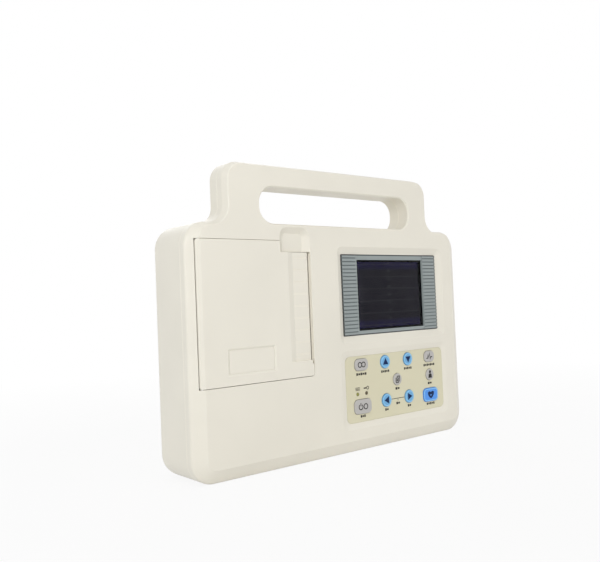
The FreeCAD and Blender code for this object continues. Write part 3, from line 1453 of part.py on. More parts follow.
def head_bracket():
    """The sheet bracket that carries the head's pivot and takes the push of its springs."""
    start = pivot_x - dim.lug_radius - dim.bracket_gap
    end = platen_x + dim.head_width / 2
    plate_back = bracket_y + dim.bracket_sheet
    high = cheek_high + dim.bracket_sheet
    parts = [box("bracket_plate", (start, bracket_y, cheek_low), (end, plate_back, high))]
    for low in (cheek_low, cheek_high):
        parts.append(box("bracket_cheek", (start, pivot_y - dim.lug_radius, low),
                         (end, plate_back, low + dim.bracket_sheet)))
    for low in (cheek_low + dim.lug_length, cheek_high - dim.lug_length):
        parts.append(box("bracket_leg", (start, plate_back, low),
                         (end, tray_floor, low + dim.bracket_sheet)))
    hole = bar("pivot_hole", "z", (pivot_x, pivot_y, cheek_low), high - cheek_low, dim.pivot_radius)
    node(cut("bracket_cut", fuse("bracket_whole", parts), [hole]), "head_bracket")
    node(bar("pivot_rod", "z", (pivot_x, pivot_y, cheek_low), high - cheek_low, dim.pivot_radius),
         "head_pivot_pin")


def coil_spring(z):
    """A coil spring between the heat sink and its bracket."""
    wire = dim.spring_wire.number
    coil = dim.spring_radius.number - wire
    height = dim.spring_length.number - 2 * wire
    path = Part.makeHelix(dim.spring_pitch.number, height, coil)
    section = Part.Wire(Part.makeCircle(wire, Vector(coil, 0, 0), Vector(0, 1, 0)))
    spring = path.makePipeShell([section], True, True)
    spring.rotate(Vector(), Vector(1, 0, 0), -90)
    spring.translate(Vector(platen_x.number, sink_back.number + wire, z.number))
    return spring


def head_springs():
    feature = doc.addObject("Part::Feature", "spring_pair")
    quarter = dim.head_length / 4
    feature.Shape = Part.Compound([coil_spring(paper_middle - quarter),
                                   coil_spring(paper_middle + quarter)])
    feature.Placement = Placement()
    node(feature, "head_springs")


# Screen

def screen():
    """The ribbed bezel, its window, and the LCD behind it."""
    piece = Piece("bezel_frame")
    gap = dim.slip_gap
    lap = dim.bezel_flange
    face = rectangle(bezel_left + gap, dim.bezel_bottom + gap, bezel_right - gap, bezel_top - gap,
                     dim.bezel_round)
    piece.pad(piece.outline("bezel_face", "front", bezel_y, face), dim.bezel_thickness)
    flange = rectangle(bezel_left - lap, dim.bezel_bottom - lap, bezel_right + lap, bezel_top + lap)
    panel_y = deep(dim.front_wall)
    piece.pad(piece.outline("bezel_lap", "front", panel_y, flange), bezel_back - panel_y)
    screen_left = panel_x - dim.screen_width / 2
    screen_right = panel_x + dim.screen_width / 2
    opening = rectangle(screen_left, screen_bottom, screen_right, screen_top)
    piece.pocket(piece.outline("bezel_opening", "front", bezel_y, opening), dim.bezel_thickness)

    def screen_box(grow):
        return rectangle(screen_left - grow, screen_bottom - grow, screen_right + grow, screen_top + grow)

    seat = piece.outline("window_seat", "front", bezel_back, screen_box(dim.window_lap))
    piece.pocket(seat, dim.window_thickness, onward=False)
    margin = dim.rib_margin
    span = dim.rib_pitch * (dim.rib_count - 1)
    low = (dim.bezel_bottom + bezel_top - span - dim.rib_width) / 2
    high = low + dim.rib_width
    ribs = piece.outline("wing_rib", "front", bezel_y,
                         rectangle(bezel_left + margin, low, screen_left - margin, high),
                         rectangle(screen_right + margin, low, bezel_right - margin, high))
    piece.repeat(piece.pad(ribs, dim.bezel_rib, onward=False), "Z_Axis", span, dim.rib_count)
    node(piece.body, "screen_bezel")

    def sheet_piece(label, grow, start, thickness):
        part = Piece(label + "_sheet")
        part.pad(part.outline(label + "_outline", "front", start, screen_box(grow)), thickness)
        node(part.body, label)

    window_y = bezel_back - dim.window_thickness
    sheet_piece("screen_window", dim.window_lap - gap, window_y, dim.window_thickness)
    sheet_piece("lcd_panel", dim.lcd_border, lcd_y, dim.lcd_glass)
    sheet_piece("lcd_backlight", dim.lcd_border, lcd_box_y, dim.lcd_box)


# Keypad

def round_key(column, row, radius):
    """A round key: a function that draws it into a sketch, made larger by a margin."""
    def draw(drawing, grow):
        draw_circle(drawing, (column, row), radius + grow)
    return draw


def square_key(column, row, width, height):
    """A square key with rounded corners, drawn the same way."""
    def draw(drawing, grow):
        half_width = width / 2 + grow
        half_height = height / 2 + grow
        draw_rounded(drawing, rectangle(column - half_width, row - half_height, column + half_width,
                                        row + half_height, dim.key_corner + grow))
    return draw


COLUMNS = [power_column, panel_x - dim.column_inner,
           panel_x + dim.column_inner, panel_x + dim.column_outer]
ARROWS = {"key_up": (1, dim.row_upper), "key_down": (2, dim.row_upper),
          "key_left": (1, dim.row_lower), "key_right": (2, dim.row_lower)}
KEY_SPOTS = {name: (COLUMNS[column], row) for name, (column, row) in ARROWS.items()}
KEY_SPOTS["key_copy"] = (panel_x, dim.row_middle)
KEY_SPOTS["key_patient"] = (COLUMNS[3], dim.row_middle)
KEY_SPOTS["key_mode"] = (COLUMNS[0], dim.row_upper)
KEY_SPOTS["key_filter"] = (COLUMNS[3], dim.row_upper)
KEY_SPOTS["key_power"] = (COLUMNS[0], dim.row_power)
KEY_SPOTS["key_print"] = (COLUMNS[3], dim.row_power)
KEYS = {name: round_key(*KEY_SPOTS[name], dim.key_radius) for name in ARROWS}
KEYS["key_copy"] = round_key(*KEY_SPOTS["key_copy"], dim.small_key_radius)
KEYS["key_patient"] = round_key(*KEY_SPOTS["key_patient"], dim.small_key_radius)
KEYS["key_mode"] = square_key(*KEY_SPOTS["key_mode"], dim.mode_width, dim.upper_key_height)
KEYS["key_filter"] = square_key(*KEY_SPOTS["key_filter"], dim.filter_width, dim.upper_key_height)
KEYS["key_power"] = square_key(*KEY_SPOTS["key_power"], dim.power_width, dim.power_height)
KEYS["key_print"] = square_key(*KEY_SPOTS["key_print"], dim.power_width, dim.power_height)
LAMPS = [(power_column - dim.lamp_spread, dim.lamp_row),
         (power_column + dim.lamp_spread, dim.lamp_row)]


def keypad_holes(piece, name, offset):
    """A sketch of all the key and lamp holes."""
    drawing = piece.sketch(name, "front", offset)
    for draw in KEYS.values():
        draw(drawing, dim.key_gap)
    for spot in LAMPS:
        draw_circle(drawing, spot, dim.lamp_radius + dim.slip_gap)
    return drawing


def keypad_overlay():
    piece = Piece("overlay_sheet")
    gap = dim.slip_gap
    sheet_loop = rectangle(pad_left + gap, dim.pad_bottom + gap, pad_right - gap, pad_top - gap,
                           dim.pad_round)
    piece.pad(piece.outline("overlay_outline", "front", pad_y, sheet_loop), dim.pad_sheet)
    piece.pocket(keypad_holes(piece, "overlay_holes", pad_y), dim.pad_sheet)
    node(piece.body, "keypad_overlay")


def key(name, draw):
    """A key cap with a rim behind the panel that keeps it in."""
    piece = Piece(name + "_cap")
    cap = piece.sketch(name + "_face", "front", key_front)
    draw(cap, size(0))
    piece.pad(cap, key_flange_y - key_front)
    piece.soften("Fillet", at_depth(key_front), dim.key_edge)
    rim = piece.sketch(name + "_rim", "front", key_flange_y)
    draw(rim, dim.key_flange)
    piece.pad(rim, dim.key_flange_thickness)
    node(piece.body, name)


def key_electronics():
    """The board behind the keys, its switch domes and the two lamps."""
    low = (pad_left, key_board_y, dim.pad_bottom)
    high = (pad_right, key_board_y + dim.board_thickness, pad_top)
    node(drilled_board("key_board", low, high, PAD_PILLARS), "key_board")
    domes = [bar("dome", "y", (x, dome_y, z), dim.dome_height, dim.dome_radius)
             for x, z in KEY_SPOTS.values()]
    node(group("dome_set", domes), "key_domes")
    lamps = []
    for x, z in LAMPS:
        tip_y = pad_y - dim.slip_gap
        stem = bar("lamp_stem", "y", (x, tip_y, z), key_board_y - tip_y, dim.lamp_radius)
        collar = bar("lamp_collar", "y", (x, dome_y, z), dim.dome_height, dim.lamp_radius + dim.slip_gap)
        lamps.append(fuse("lamp", [stem, collar]))
    node(group("lamp_set", lamps), "indicator_leds")


# Circuit boards

def drilled_board(label, low, high, spots):
    """A board with a screw hole at each of its pillars."""
    plate = box(label + "_plate", low, high)
    holes = [bar(label + "_hole", "y", (x, low[1], z), dim.board_thickness, dim.board_screw_radius)
             for x, z in spots]
    return cut(label + "_cut", plate, holes)


def inner_screws(motor_screws):
    """The screws of the boards, with the motor's."""
    screws = list(motor_screws)
    for spots, under, direction in ((PAD_PILLARS, key_board_y + dim.board_thickness, -1),
                                    (MAIN_PILLARS + POWER_PILLARS, board_y, 1)):
        for x, z in spots:
            screws.append(screw("board_screw", (x, under, z), direction, dim.board_screw_length,
                                dim.board_screw_radius, dim.board_screw_head, dim.board_screw_radius))
    node(group("inner_screw_set", screws), "inner_screws")


# Places on the boards: across and up from the lower left corner, then width, height and thickness
CHIPS = [(20, 20, 24, 24, 2), (56, 24, 14, 10, 2), (20, 56, 20, 12, 2), (48, 50, 10, 8, 1.5),
         (90, 84, 18, 12, 6), (14, 88, 26, 6, 5)]
POWER_PARTS = [(10, 12, 30, 26, 22), (46, 10, 8, 30, 16), (60, 12, 18, 26, 14), (84, 10, 14, 12, 12),
               (84, 28, 14, 12, 12)]
SHIELD = (78, 22, 42, 46, 6)
BUZZER = (62, 88, 7, 8)


def block_on_board(label, corner, spot):
    """A block standing on the front of a board."""
    across, up, width, height, thickness = spot
    low = (corner[0] + across, board_y - thickness, corner[1] + up)
    return box(label, low, (low[0] + width, board_y, low[2] + height))


def main_electronics():
    corner = (main_left, dim.main_board_bottom)
    low = (main_left, board_y, dim.main_board_bottom)
    board = drilled_board("main_board", low, (main_right, board_back, main_top), MAIN_PILLARS)
    node(board, "main_board")
    chips = [block_on_board("chip", corner, spot) for spot in CHIPS]
    node(group("chip_set", chips), "board_chips")
    across, up, width, height, thickness = SHIELD
    skin = dim.shield_sheet
    can = block_on_board("shield_can", corner, SHIELD)
    start = main_left + across
    low = corner[1] + up
    inside = box("shield_inside", (start + skin, board_y - thickness + skin, low + skin),
                 (start + width - skin, board_y, low + height - skin))
    node(cut("shield_cut", can, [inside]), "input_shield")
    across, up, radius, height = BUZZER
    spot = (main_left + across, board_y - height, corner[1] + up)
    node(bar("buzzer_can", "y", spot, size(height), size(radius)), "buzzer")
    ribbon_half = dim.ribbon_width / 2
    ribbon_low = screen_top - dim.ribbon_drop
    node(box("ribbon_sheet", (panel_x - ribbon_half, lcd_box_y + dim.lcd_box, ribbon_low),
             (panel_x + ribbon_half, board_y, ribbon_low + dim.ribbon_sheet)), "ribbon_cable")


def power_electronics():
    corner = (power_left, dim.power_board_bottom)
    low = (power_left, board_y, dim.power_board_bottom)
    board = drilled_board("power_board", low, (power_right, board_back, power_top), POWER_PILLARS)
    node(board, "power_board")
    parts = [block_on_board("power_part", corner, spot) for spot in POWER_PARTS]
    node(group("power_part_set", parts), "power_board_parts")


# Fittings in the right side wall

def mains_inlet():
    piece = Piece("inlet_housing")
    radius = dim.inlet_round
    body = fitting_loop(dim.inlet_row, dim.inlet_height, dim.inlet_depth, -dim.slip_gap)
    piece.pad(piece.outline("inlet_body", "side", right - dim.inlet_body, body), dim.inlet_body)
    flange = fitting_loop(dim.inlet_row, dim.inlet_height, dim.inlet_depth, dim.inlet_lip)
    piece.pad(piece.outline("inlet_flange", "side", right, flange), dim.inlet_flange)
    mouth = fitting_loop(dim.inlet_row, dim.inlet_height, dim.inlet_depth, -dim.inlet_side, radius)
    face_x = right + dim.inlet_flange
    piece.pocket(piece.outline("inlet_mouth", "side", face_x, mouth), dim.inlet_mouth, onward=False)
    node(piece.body, "mains_inlet")
    floor_x = face_x - dim.inlet_mouth
    offset = dim.blade_offset
    spots = [(fitting_y - offset, dim.inlet_row - dim.blade_spread), (fitting_y + offset, dim.inlet_row),
             (fitting_y - offset, dim.inlet_row + dim.blade_spread)]
    half_thickness = dim.blade_thickness / 2
    half_width = dim.blade_width / 2
    blades = [box("blade", (floor_x, y - half_width, z - half_thickness),
                  (floor_x + dim.blade_length, y + half_width, z + half_thickness)) for y, z in spots]
    node(group("blade_set", blades), "inlet_pins")


def mains_switch():
    """The switch frame, and a rocker that hangs in it on two trunnions, tilted to off."""
    piece = Piece("switch_housing")
    row, height, depth = dim.switch_row, dim.switch_height, dim.switch_depth
    body = fitting_loop(row, height, depth, -dim.slip_gap)
    piece.pad(piece.outline("switch_body", "side", right - dim.switch_body, body), dim.switch_body)
    flange = fitting_loop(row, height, depth, dim.switch_lip)
    piece.pad(piece.outline("switch_flange", "side", right, flange), dim.switch_flange)
    face_x = right + dim.switch_flange
    well = fitting_loop(row, height, depth, -dim.switch_side)
    piece.pocket(piece.outline("switch_well", "side", face_x, well), dim.switch_body, onward=False)
    pivot = right - dim.rocker_sink
    half_depth = depth / 2 - dim.switch_side
    reach = half_depth + dim.switch_side / 2
    bore = bar("trunnion_bore", "y", (pivot, fitting_y - reach, row), reach * 2,
               dim.rocker_radius + dim.running_clearance)
    node(cut("switch_cut", piece.body, [bore]), "switch_frame")
    half_height = height / 2 - dim.switch_side - dim.rocker_end_gap
    half_width = half_depth - dim.rocker_gap
    paddle = box("rocker_paddle", (-dim.rocker_thickness + dim.rocker_rise, -half_width, -half_height),
                 (dim.rocker_rise, half_width, half_height))
    pin_half = reach - dim.running_clearance
    trunnion = bar("rocker_trunnion", "y", (size(0), -pin_half, size(0)), pin_half * 2, dim.rocker_radius)
    rocker = fuse("rocker_whole", [paddle, trunnion])
    rocker.Placement = Placement(Vector(), Rotation(Vector(0, 1, 0), dim.rocker_tilt.number))
    place(rocker, (pivot, fitting_y, row))
    bind(rocker, "Placement.Rotation.Angle", dim.rocker_tilt)
    node(rocker, "switch_rocker")


def ground_terminal():
    row = dim.stud_row
    flange = bar("stud_flange", "x", (right, fitting_y, row), dim.stud_flange, dim.stud_flange_radius)
    pin = bar("stud_pin", "x", (right, fitting_y, row), dim.stud_flange + dim.stud_reach, dim.stud_radius)
    inner = wall_inner - dim.stud_nut - dim.stud_flange
    shank = bar("stud_shank", "x", (inner, fitting_y, row), right - inner, dim.stud_shank_radius)
    nut = hexagon("stud_nut", "x", (wall_inner - dim.stud_nut, fitting_y, row), dim.stud_nut,
                  dim.stud_nut_across)
    node(fuse("stud_whole", [flange, pin, shank, nut]), "ground_terminal")


def patient_socket():
    """The fifteen-way socket for the patient lead, held from inside by two screw posts."""
    piece = Piece("socket_housing")
    row = dim.socket_row
    plate_x = wall_inner - dim.socket_plate
    body_x = plate_x - dim.socket_body
    plate = fitting_loop(row, dim.socket_length, dim.socket_plate_width, size(0))
    piece.pad(piece.outline("socket_plate", "side", plate_x, plate), dim.socket_plate)
    face_x = right + dim.shell_proud
    shell = piece.polygon("socket_shell", "side", wall_inner, shell_points(size(0)))
    piece.pad(shell, face_x - wall_inner)
    core = piece.polygon("socket_body", "side", body_x, shell_points(size(0)))
    piece.pad(core, dim.socket_body)
    pitch = dim.contact_pitch
    contacts = []
    for count, y in ((LONG_ROW, fitting_y - pitch / 2), (SHORT_ROW, fitting_y + pitch / 2)):
        start = row - pitch * (count - 1) / 2
        contacts += [(y, start + pitch * n) for n in range(count)]
    holes = piece.circles("socket_contacts", "side", face_x, contacts, dim.contact_radius)
    piece.pocket(holes, dim.contact_depth, onward=False)
    shanks = piece.circles("socket_posts", "side", wall_inner, POSTS, dim.post_shank)
    piece.pocket(shanks, dim.socket_plate, onward=False)
    node(piece.body, "patient_socket")
    posts = []
    inner = plate_x - dim.socket_plate
    for y, z in POSTS:
        shank = bar("post_shank", "x", (inner, y, z), right - inner, dim.post_shank)
        head = hexagon("post_head", "x", (right, y, z), dim.post_height, dim.post_across)
        bore = bar("post_bore", "x", (right, y, z), dim.post_height, dim.post_bore)
        posts.append(cut("post", fuse("post_whole", [shank, head]), [bore]))
    node(group("post_set", posts), "socket_jackposts")


def build():
    blank = front_blank()
    front_cover(blank)
    rear_cover()
    handle_back()
    casing_screws()
    rear_feet()
    battery()
    paper_door(blank)
    door_fittings()
    platen()
    gears()
    motor_screws = motor()
    paper_tray()
    paper()
    print_head()
    head_bracket()
    head_springs()
    screen()
    keypad_overlay()
    for name, draw in KEYS.items():
        key(name, draw)
    key_electronics()
    inner_screws(motor_screws)
    main_electronics()
    power_electronics()
    side_panel()
    mains_inlet()
    mains_switch()
    ground_terminal()
    patient_socket()
    doc.recompute()


def check_and_write():
    """Stops if anything failed, then writes each sub-part."""
    failed = [thing.Name for thing in doc.Objects if "Invalid" in thing.State or "Error" in thing.State]
    faulty = [thing.Label for thing in nodes if thing.Shape.isNull() or not thing.Shape.isValid()]
    if failed or faulty:
        raise RuntimeError(f"failed objects {failed}, faulty sub-parts {faulty}")
    os.makedirs("parts", exist_ok=True)
    for thing in nodes:
        thing.Shape.exportStep(f"parts/{thing.Label}.step")
        print(thing.Label, len(thing.Shape.Solids), round(thing.Shape.Volume, 1))


build()
check_and_write()
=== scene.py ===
import json
import math

import bmesh
import bpy
from mathutils import Matrix, Vector


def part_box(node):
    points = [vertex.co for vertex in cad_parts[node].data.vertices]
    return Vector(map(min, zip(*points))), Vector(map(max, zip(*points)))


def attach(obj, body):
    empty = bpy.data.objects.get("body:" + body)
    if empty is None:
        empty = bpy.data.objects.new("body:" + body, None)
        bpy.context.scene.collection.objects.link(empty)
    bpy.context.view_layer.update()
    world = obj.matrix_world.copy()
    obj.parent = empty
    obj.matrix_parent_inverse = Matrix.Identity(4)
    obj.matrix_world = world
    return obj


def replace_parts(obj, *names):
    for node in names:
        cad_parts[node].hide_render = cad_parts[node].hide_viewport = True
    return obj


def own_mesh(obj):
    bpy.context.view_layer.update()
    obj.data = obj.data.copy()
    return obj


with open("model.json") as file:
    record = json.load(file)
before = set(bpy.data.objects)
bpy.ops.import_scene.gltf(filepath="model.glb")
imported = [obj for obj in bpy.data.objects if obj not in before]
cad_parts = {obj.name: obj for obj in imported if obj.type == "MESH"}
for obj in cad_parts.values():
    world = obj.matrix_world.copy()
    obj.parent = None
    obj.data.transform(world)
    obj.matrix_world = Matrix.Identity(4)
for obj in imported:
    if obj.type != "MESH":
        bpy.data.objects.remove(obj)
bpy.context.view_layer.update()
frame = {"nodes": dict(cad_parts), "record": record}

# A portable ECG recorder that stands on its base, with a paper door, a screen and a keypad.
# Lengths are in metres, except in outlines and profiles, which are drawn in millimetres.

MM = 0.001
SCENE = bpy.context.scene
CASING = "casing"


# Materials

class Look:
    """A material being made: a Principled shader and the nodes that feed it."""

    def __init__(self, name, **constants):
        self.material = bpy.data.materials.new(name)
        self.material.use_nodes = True
        self.tree = self.material.node_tree
        self.tree.nodes.clear()
        self.shader = self.node("BsdfPrincipled")
        self.output = self.node("OutputMaterial")
        self.tree.links.new(self.shader.outputs[0], self.output.inputs[0])
        for socket, value in constants.items():
            self.put(self.shader, socket.replace("_", " "), value)

    def put(self, node, socket, value):
        """Links an input to another node's output, or sets it to a plain value."""
        if isinstance(value, bpy.types.NodeSocket):
            self.tree.links.new(value, node.inputs[socket])
        else:
            node.inputs[socket].default_value = value

    def node(self, kind, inputs=(), **settings):
        made = self.tree.nodes.new("ShaderNode" + kind)
        for setting, value in settings.items():
            setattr(made, setting, value)
        for socket, value in dict(inputs).items():
            self.put(made, socket, value)
        return made

    def feed(self, socket, value):
        self.put(self.shader, socket, value)

    def cover(self, share, shader):
        """Lays another shader over the Principled one by a share."""
        mix = self.node("MixShader", {0: share, 1: self.shader.outputs[0], 2: shader.outputs[0]})
        self.tree.links.new(mix.outputs[0], self.output.inputs[0])

    def place(self, stretch=(1, 1, 1)):
        """Coordinates on the piece, stretched along its axes."""
        start = self.node("TexCoord").outputs["Object"]
        return self.node("Mapping", {"Vector": start, "Scale": stretch}).outputs[0]

    def noise(self, scale, detail=2.0, stretch=(1, 1, 1)):
        inputs = {"Vector": self.place(stretch), "Scale": scale, "Detail": detail}
        return self.node("TexNoise", inputs).outputs["Fac"]

    def spread(self, value, low, high, start=0.3, end=0.7):
        """A value carried from one range to another."""
        inputs = {"Value": value, "From Min": start, "From Max": end, "To Min": low, "To Max": high}
        return self.node("MapRange", inputs).outputs[0]

    def math(self, operation, first, second=0.0):
        return self.node("Math", {0: first, 1: second}, operation=operation).outputs[0]

    def blend(self, share, first, second):
        """The second colour over the first by a share."""
        return self.node("Mix", {0: share, 6: first, 7: second}, data_type="RGBA").outputs[2]

    def axis(self, name):
        """One coordinate of the place on the piece."""
        start = self.node("TexCoord").outputs["Object"]
        return self.node("SeparateXYZ", {"Vector": start}).outputs[name]

    def bump(self, height, strength, distance):
        inputs = {"Height": height, "Strength": strength, "Distance": distance}
        return self.node("Bump", inputs).outputs[0]

    def polish(self, low, high):
        """An uneven polish: roughness that drifts between two values."""
        self.feed("Roughness", self.spread(self.noise(POLISH, 4.0), low, high))

    def grain(self, scale):
        """The fine grain of a spark-eroded mould."""
        self.feed("Normal", self.bump(self.noise(scale, 3.0), GRAIN_STRENGTH, GRAIN_DEPTH))


# Moulded plastic: the scale of its polish and its grain, how far its painted edge highlights and its
# dust-tinted painted shade in corners reach, and how they change its colour.
POLISH = 60.0
GRAIN = 2600.0
GRAIN_STRENGTH = 0.35
GRAIN_DEPTH = 0.00002
MOTTLE = 14.0
EDGE_HIGHLIGHT_REACH = 0.001
EDGE_HIGHLIGHT_FULL = 8.0
EDGE_HIGHLIGHT_BEND = (0.90, 0.995)
EDGE_HIGHLIGHT_TONE = 1.16
DUST_SHADE_REACH = 0.004
DUST_SHADE_OPEN = (0.25, 0.85)
DUST_SHADE_TINT = (0.62, 0.58, 0.5)


def tone(colour, factor):
    """A colour made lighter or darker."""
    return tuple(min(1.0, part * factor) for part in colour[:3]) + (1.0,)


def moulded(name, colour, rough=0.42, grain=GRAIN, mottle=0.025, crevice_shade=0.08, edge=0.1):
    """Moulded plastic: faint mottling, a fine grain, painted edge highlights, dust-tinted painted shade in
    corners.
    """
    look = Look(name)
    patches = look.spread(look.noise(MOTTLE, 3.0), 0.0, 1.0)
    colours = look.blend(patches, tone(colour, 1 - mottle), tone(colour, 1 + mottle))
    # Painted highlight: the colour is made lighter on edges, where the bevelled normal turns away from the
    # true one.
    if edge:
        soft = look.node("Bevel", {"Radius": EDGE_HIGHLIGHT_REACH}, samples=4).outputs[0]
        hard = look.node("NewGeometry").outputs["True Normal"]
        turn = look.node("VectorMath", {0: soft, 1: hard}, operation="DOT_PRODUCT").outputs["Value"]
        edge_highlight = look.spread(turn, edge * EDGE_HIGHLIGHT_FULL, 0.0, *EDGE_HIGHLIGHT_BEND)
        colours = look.blend(edge_highlight, colours, tone(colour, EDGE_HIGHLIGHT_TONE))
    # Painted shade with a dust tint: the colour is made darker where ambient occlusion finds corners and gaps
    # closed in.
    if crevice_shade:
        open_sky = look.node("AmbientOcclusion", {"Distance": DUST_SHADE_REACH}, samples=6).outputs["AO"]
        dust_and_shade = look.spread(open_sky, crevice_shade, 0.0, *DUST_SHADE_OPEN)
        dust_shade_colour = tuple(part * share for part, share in zip(colour, DUST_SHADE_TINT))
        colours = look.blend(dust_and_shade, colours, tone(dust_shade_colour, 1))
    look.feed("Base Color", colours)
    look.polish(rough - 0.04, rough + 0.06)
    look.grain(grain)
    return look.material


def metal(name, colour, rough=0.3, streak=(1, 1, 40)):
    """Metal with fine drawn streaks and a slightly uneven polish."""
    look = Look(name, Metallic=1.0)
    lines = look.noise(900.0, 4.0, streak)
    look.feed("Base Color", look.blend(look.spread(lines, 0, 1), tone(colour, 0.9), tone(colour, 1.06)))
    look.feed("Roughness", look.spread(look.noise(160.0, 3.0, streak), rough - 0.08, rough + 0.12))
    look.feed("Normal", look.bump(lines, 0.2, 0.00001))
    return look.material


def rubber(name, colour):
    """Rubber: matt, with a fine ground tooth and a dusty bloom."""
    look = Look(name)
    bloom = look.spread(look.noise(90.0, 5.0), 0.0, 1.0)
    look.feed("Base Color", look.blend(bloom, tone(colour, 0.85), tone(colour, 1.35)))
    look.feed("Roughness", look.spread(look.noise(300.0, 2.0), 0.65, 0.85))
    look.feed("Normal", look.bump(look.noise(5200.0, 2.0), 0.5, 0.00003))
    return look.material


def printed(name, colour):
    """Screen-printed ink: slightly uneven cover with a soft gloss."""
    look = Look(name, Specular_IOR_Level=0.15)
    cover = look.spread(look.noise(1200.0, 3.0), 0.0, 1.0)
    look.feed("Base Color", look.blend(cover, tone(colour, 0.9), tone(colour, 1.15)))
    look.feed("Roughness", look.spread(look.noise(700.0, 2.0), 0.38, 0.55))
    return look.material


# The screen, in shares of its window: menu bars with cells, rows of trace, ticks up the middle, a dark rim.
LCD_GROUND = ((0.032, 0.030, 0.045, 1), (0.040, 0.038, 0.053, 1))
LCD_BAR = (0.036, 0.032, 0.100, 1)
LCD_TRACE = (0.095, 0.088, 0.105, 1)
LCD_RIM = (0.002, 0.002, 0.004, 1)
LCD_UPPER = (0.83, 0.90)
LCD_LOWER = (0.11, 0.17)
LCD_CELLS = 7.0
LCD_ROWS = 6.0
LCD_ROW_EDGE = 0.46
LCD_ROW_SHARE = 0.35
LCD_TICKS = 9.0
LCD_TICK_EDGE = 0.3
LCD_TICK_HALF = 0.018
LCD_TICK_SHARE = 0.5
LCD_RIM_START = 0.452


def lcd_look():
    """A switched-off liquid crystal screen: near black, with faint menu bars and rows of trace."""
    look = Look("lcd_glass", Specular_IOR_Level=0.05, Roughness=0.2)
    low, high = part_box("screen_window")
    across = look.spread(look.axis("X"), 0.0, 1.0, low.x, high.x)
    up = look.spread(look.axis("Z"), 0.0, 1.0, low.z, high.z)
    off_side = look.math("ABSOLUTE", look.math("SUBTRACT", across, 0.5))
    off_level = look.math("ABSOLUTE", look.math("SUBTRACT", up, 0.5))

    def waves(along, count):
        return look.math("PINGPONG", look.math("MULTIPLY", along, count), 0.5)

    smudge = look.spread(look.noise(120.0, 3.0), 0.0, 1.0)
    ground = look.blend(smudge, *LCD_GROUND)
    upper = look.spread(up, 0.0, 1.0, *LCD_UPPER)
    lower = look.spread(up, 1.0, 0.0, *LCD_LOWER)
    cells = look.spread(waves(across, LCD_CELLS), 0.6, 1.0, 0.05, 0.12)
    bars = look.math("MULTIPLY", look.math("ADD", upper, lower), cells)
    colours = look.blend(bars, ground, LCD_BAR)
    rows = look.math("GREATER_THAN", waves(up, LCD_ROWS), LCD_ROW_EDGE)
    ticks = look.math("GREATER_THAN", waves(up, LCD_TICKS), LCD_TICK_EDGE)
    column = look.math("MULTIPLY", look.math("LESS_THAN", off_side, LCD_TICK_HALF), ticks)
    faint = look.math("MAXIMUM", look.math("MULTIPLY", rows, LCD_ROW_SHARE),
                      look.math("MULTIPLY", column, LCD_TICK_SHARE))
    colours = look.blend(faint, colours, LCD_TRACE)
    rim = look.math("GREATER_THAN", look.math("MAXIMUM", off_side, off_level), LCD_RIM_START)
    look.feed("Base Color", look.blend(rim, colours, LCD_RIM))
    return look.material


def clear_look():
    """A clear coated window: mostly see-through, with a weak and slightly hazy reflection."""
    look = Look("window_acrylic", Metallic=1.0)
    look.feed("Roughness", look.spread(look.noise(220.0, 5.0), 0.05, 0.14))
    bloom = look.spread(look.noise(30.0), 0, 1)
    look.feed("Base Color", look.blend(bloom, (0.93, 0.95, 1, 1), (1, 1, 1, 1)))
    rim = look.node("Fresnel", {"IOR": 1.45}).outputs[0]
    through = look.spread(rim, 0.992, 0.7, 0.04, 0.6)
    look.cover(through, look.node("BsdfTransparent", {"Color": (1, 1, 1, 1)}))
    return look.material


# The bezel: its colours, with painted shade for its grooves, how far behind its front a groove counts as
# sunk, and the width of the painted shadow line round its edge.
BEZEL_FACE = ((0.275, 0.312, 0.310, 1), (0.292, 0.330, 0.328, 1))
BEZEL_GROOVE_SHADE = (0.150, 0.176, 0.180, 1)
BEZEL_EDGE_SHADE = (0.048, 0.053, 0.053, 1)
BEZEL_GROOVE_START = 0.0003
BEZEL_EDGE_SHADE_WIDTH = 0.0041


def bezel_look():
    """Grey moulding: pale ribs on the wings, painted shade in their grooves, a painted shadow line round the
    edge.
    """
    look = Look("grey_bezel")
    low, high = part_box("screen_bezel")
    glass_low, glass_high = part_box("screen_window")
    middle = (low + high) / 2
    across = look.math("ABSOLUTE", look.math("SUBTRACT", look.axis("X"), middle.x))
    up = look.math("ABSOLUTE", look.math("SUBTRACT", look.axis("Z"), middle.z))
    on_wing = look.math("GREATER_THAN", across, (glass_high.x - glass_low.x) / 2)
    sunk = look.math("GREATER_THAN", look.axis("Y"), low.y + BEZEL_GROOVE_START)
    patches = look.spread(look.noise(18.0, 3.0), 0.0, 1.0)
    face = look.blend(patches, *BEZEL_FACE)
    # Painted shade: the sunk grooves between the ribs on the wings are made darker.
    colours = look.blend(look.math("MULTIPLY", on_wing, sunk), face, BEZEL_GROOVE_SHADE)
    # Painted shadow: a dark band along the outer edge of the bezel, where it sits in the recess of the
    # casing.
    beyond_side = look.math("SUBTRACT", across, (high.x - low.x) / 2 - BEZEL_EDGE_SHADE_WIDTH)
    beyond_top = look.math("SUBTRACT", up, (high.z - low.z) / 2 - BEZEL_EDGE_SHADE_WIDTH)
    edge = look.math("GREATER_THAN", look.math("MAXIMUM", beyond_side, beyond_top), 0.0)
    look.feed("Base Color", look.blend(edge, colours, BEZEL_EDGE_SHADE))
    look.polish(0.42, 0.55)
    look.grain(GRAIN)
    return look.material


# Chart paper: pitch and width of its two grids, and the thickness of a turn.
FINE_GRID = (0.001, 0.00012)
BOLD_GRID = (0.005, 0.0003)
PAPER_TURN = 0.00022
PAPER_WHITE = ((0.86, 0.85, 0.82, 1), (0.9, 0.89, 0.86, 1))
PAPER_PINK = (0.85, 0.42, 0.38, 1)
PAPER_EDGE = (0.62, 0.6, 0.55, 1)


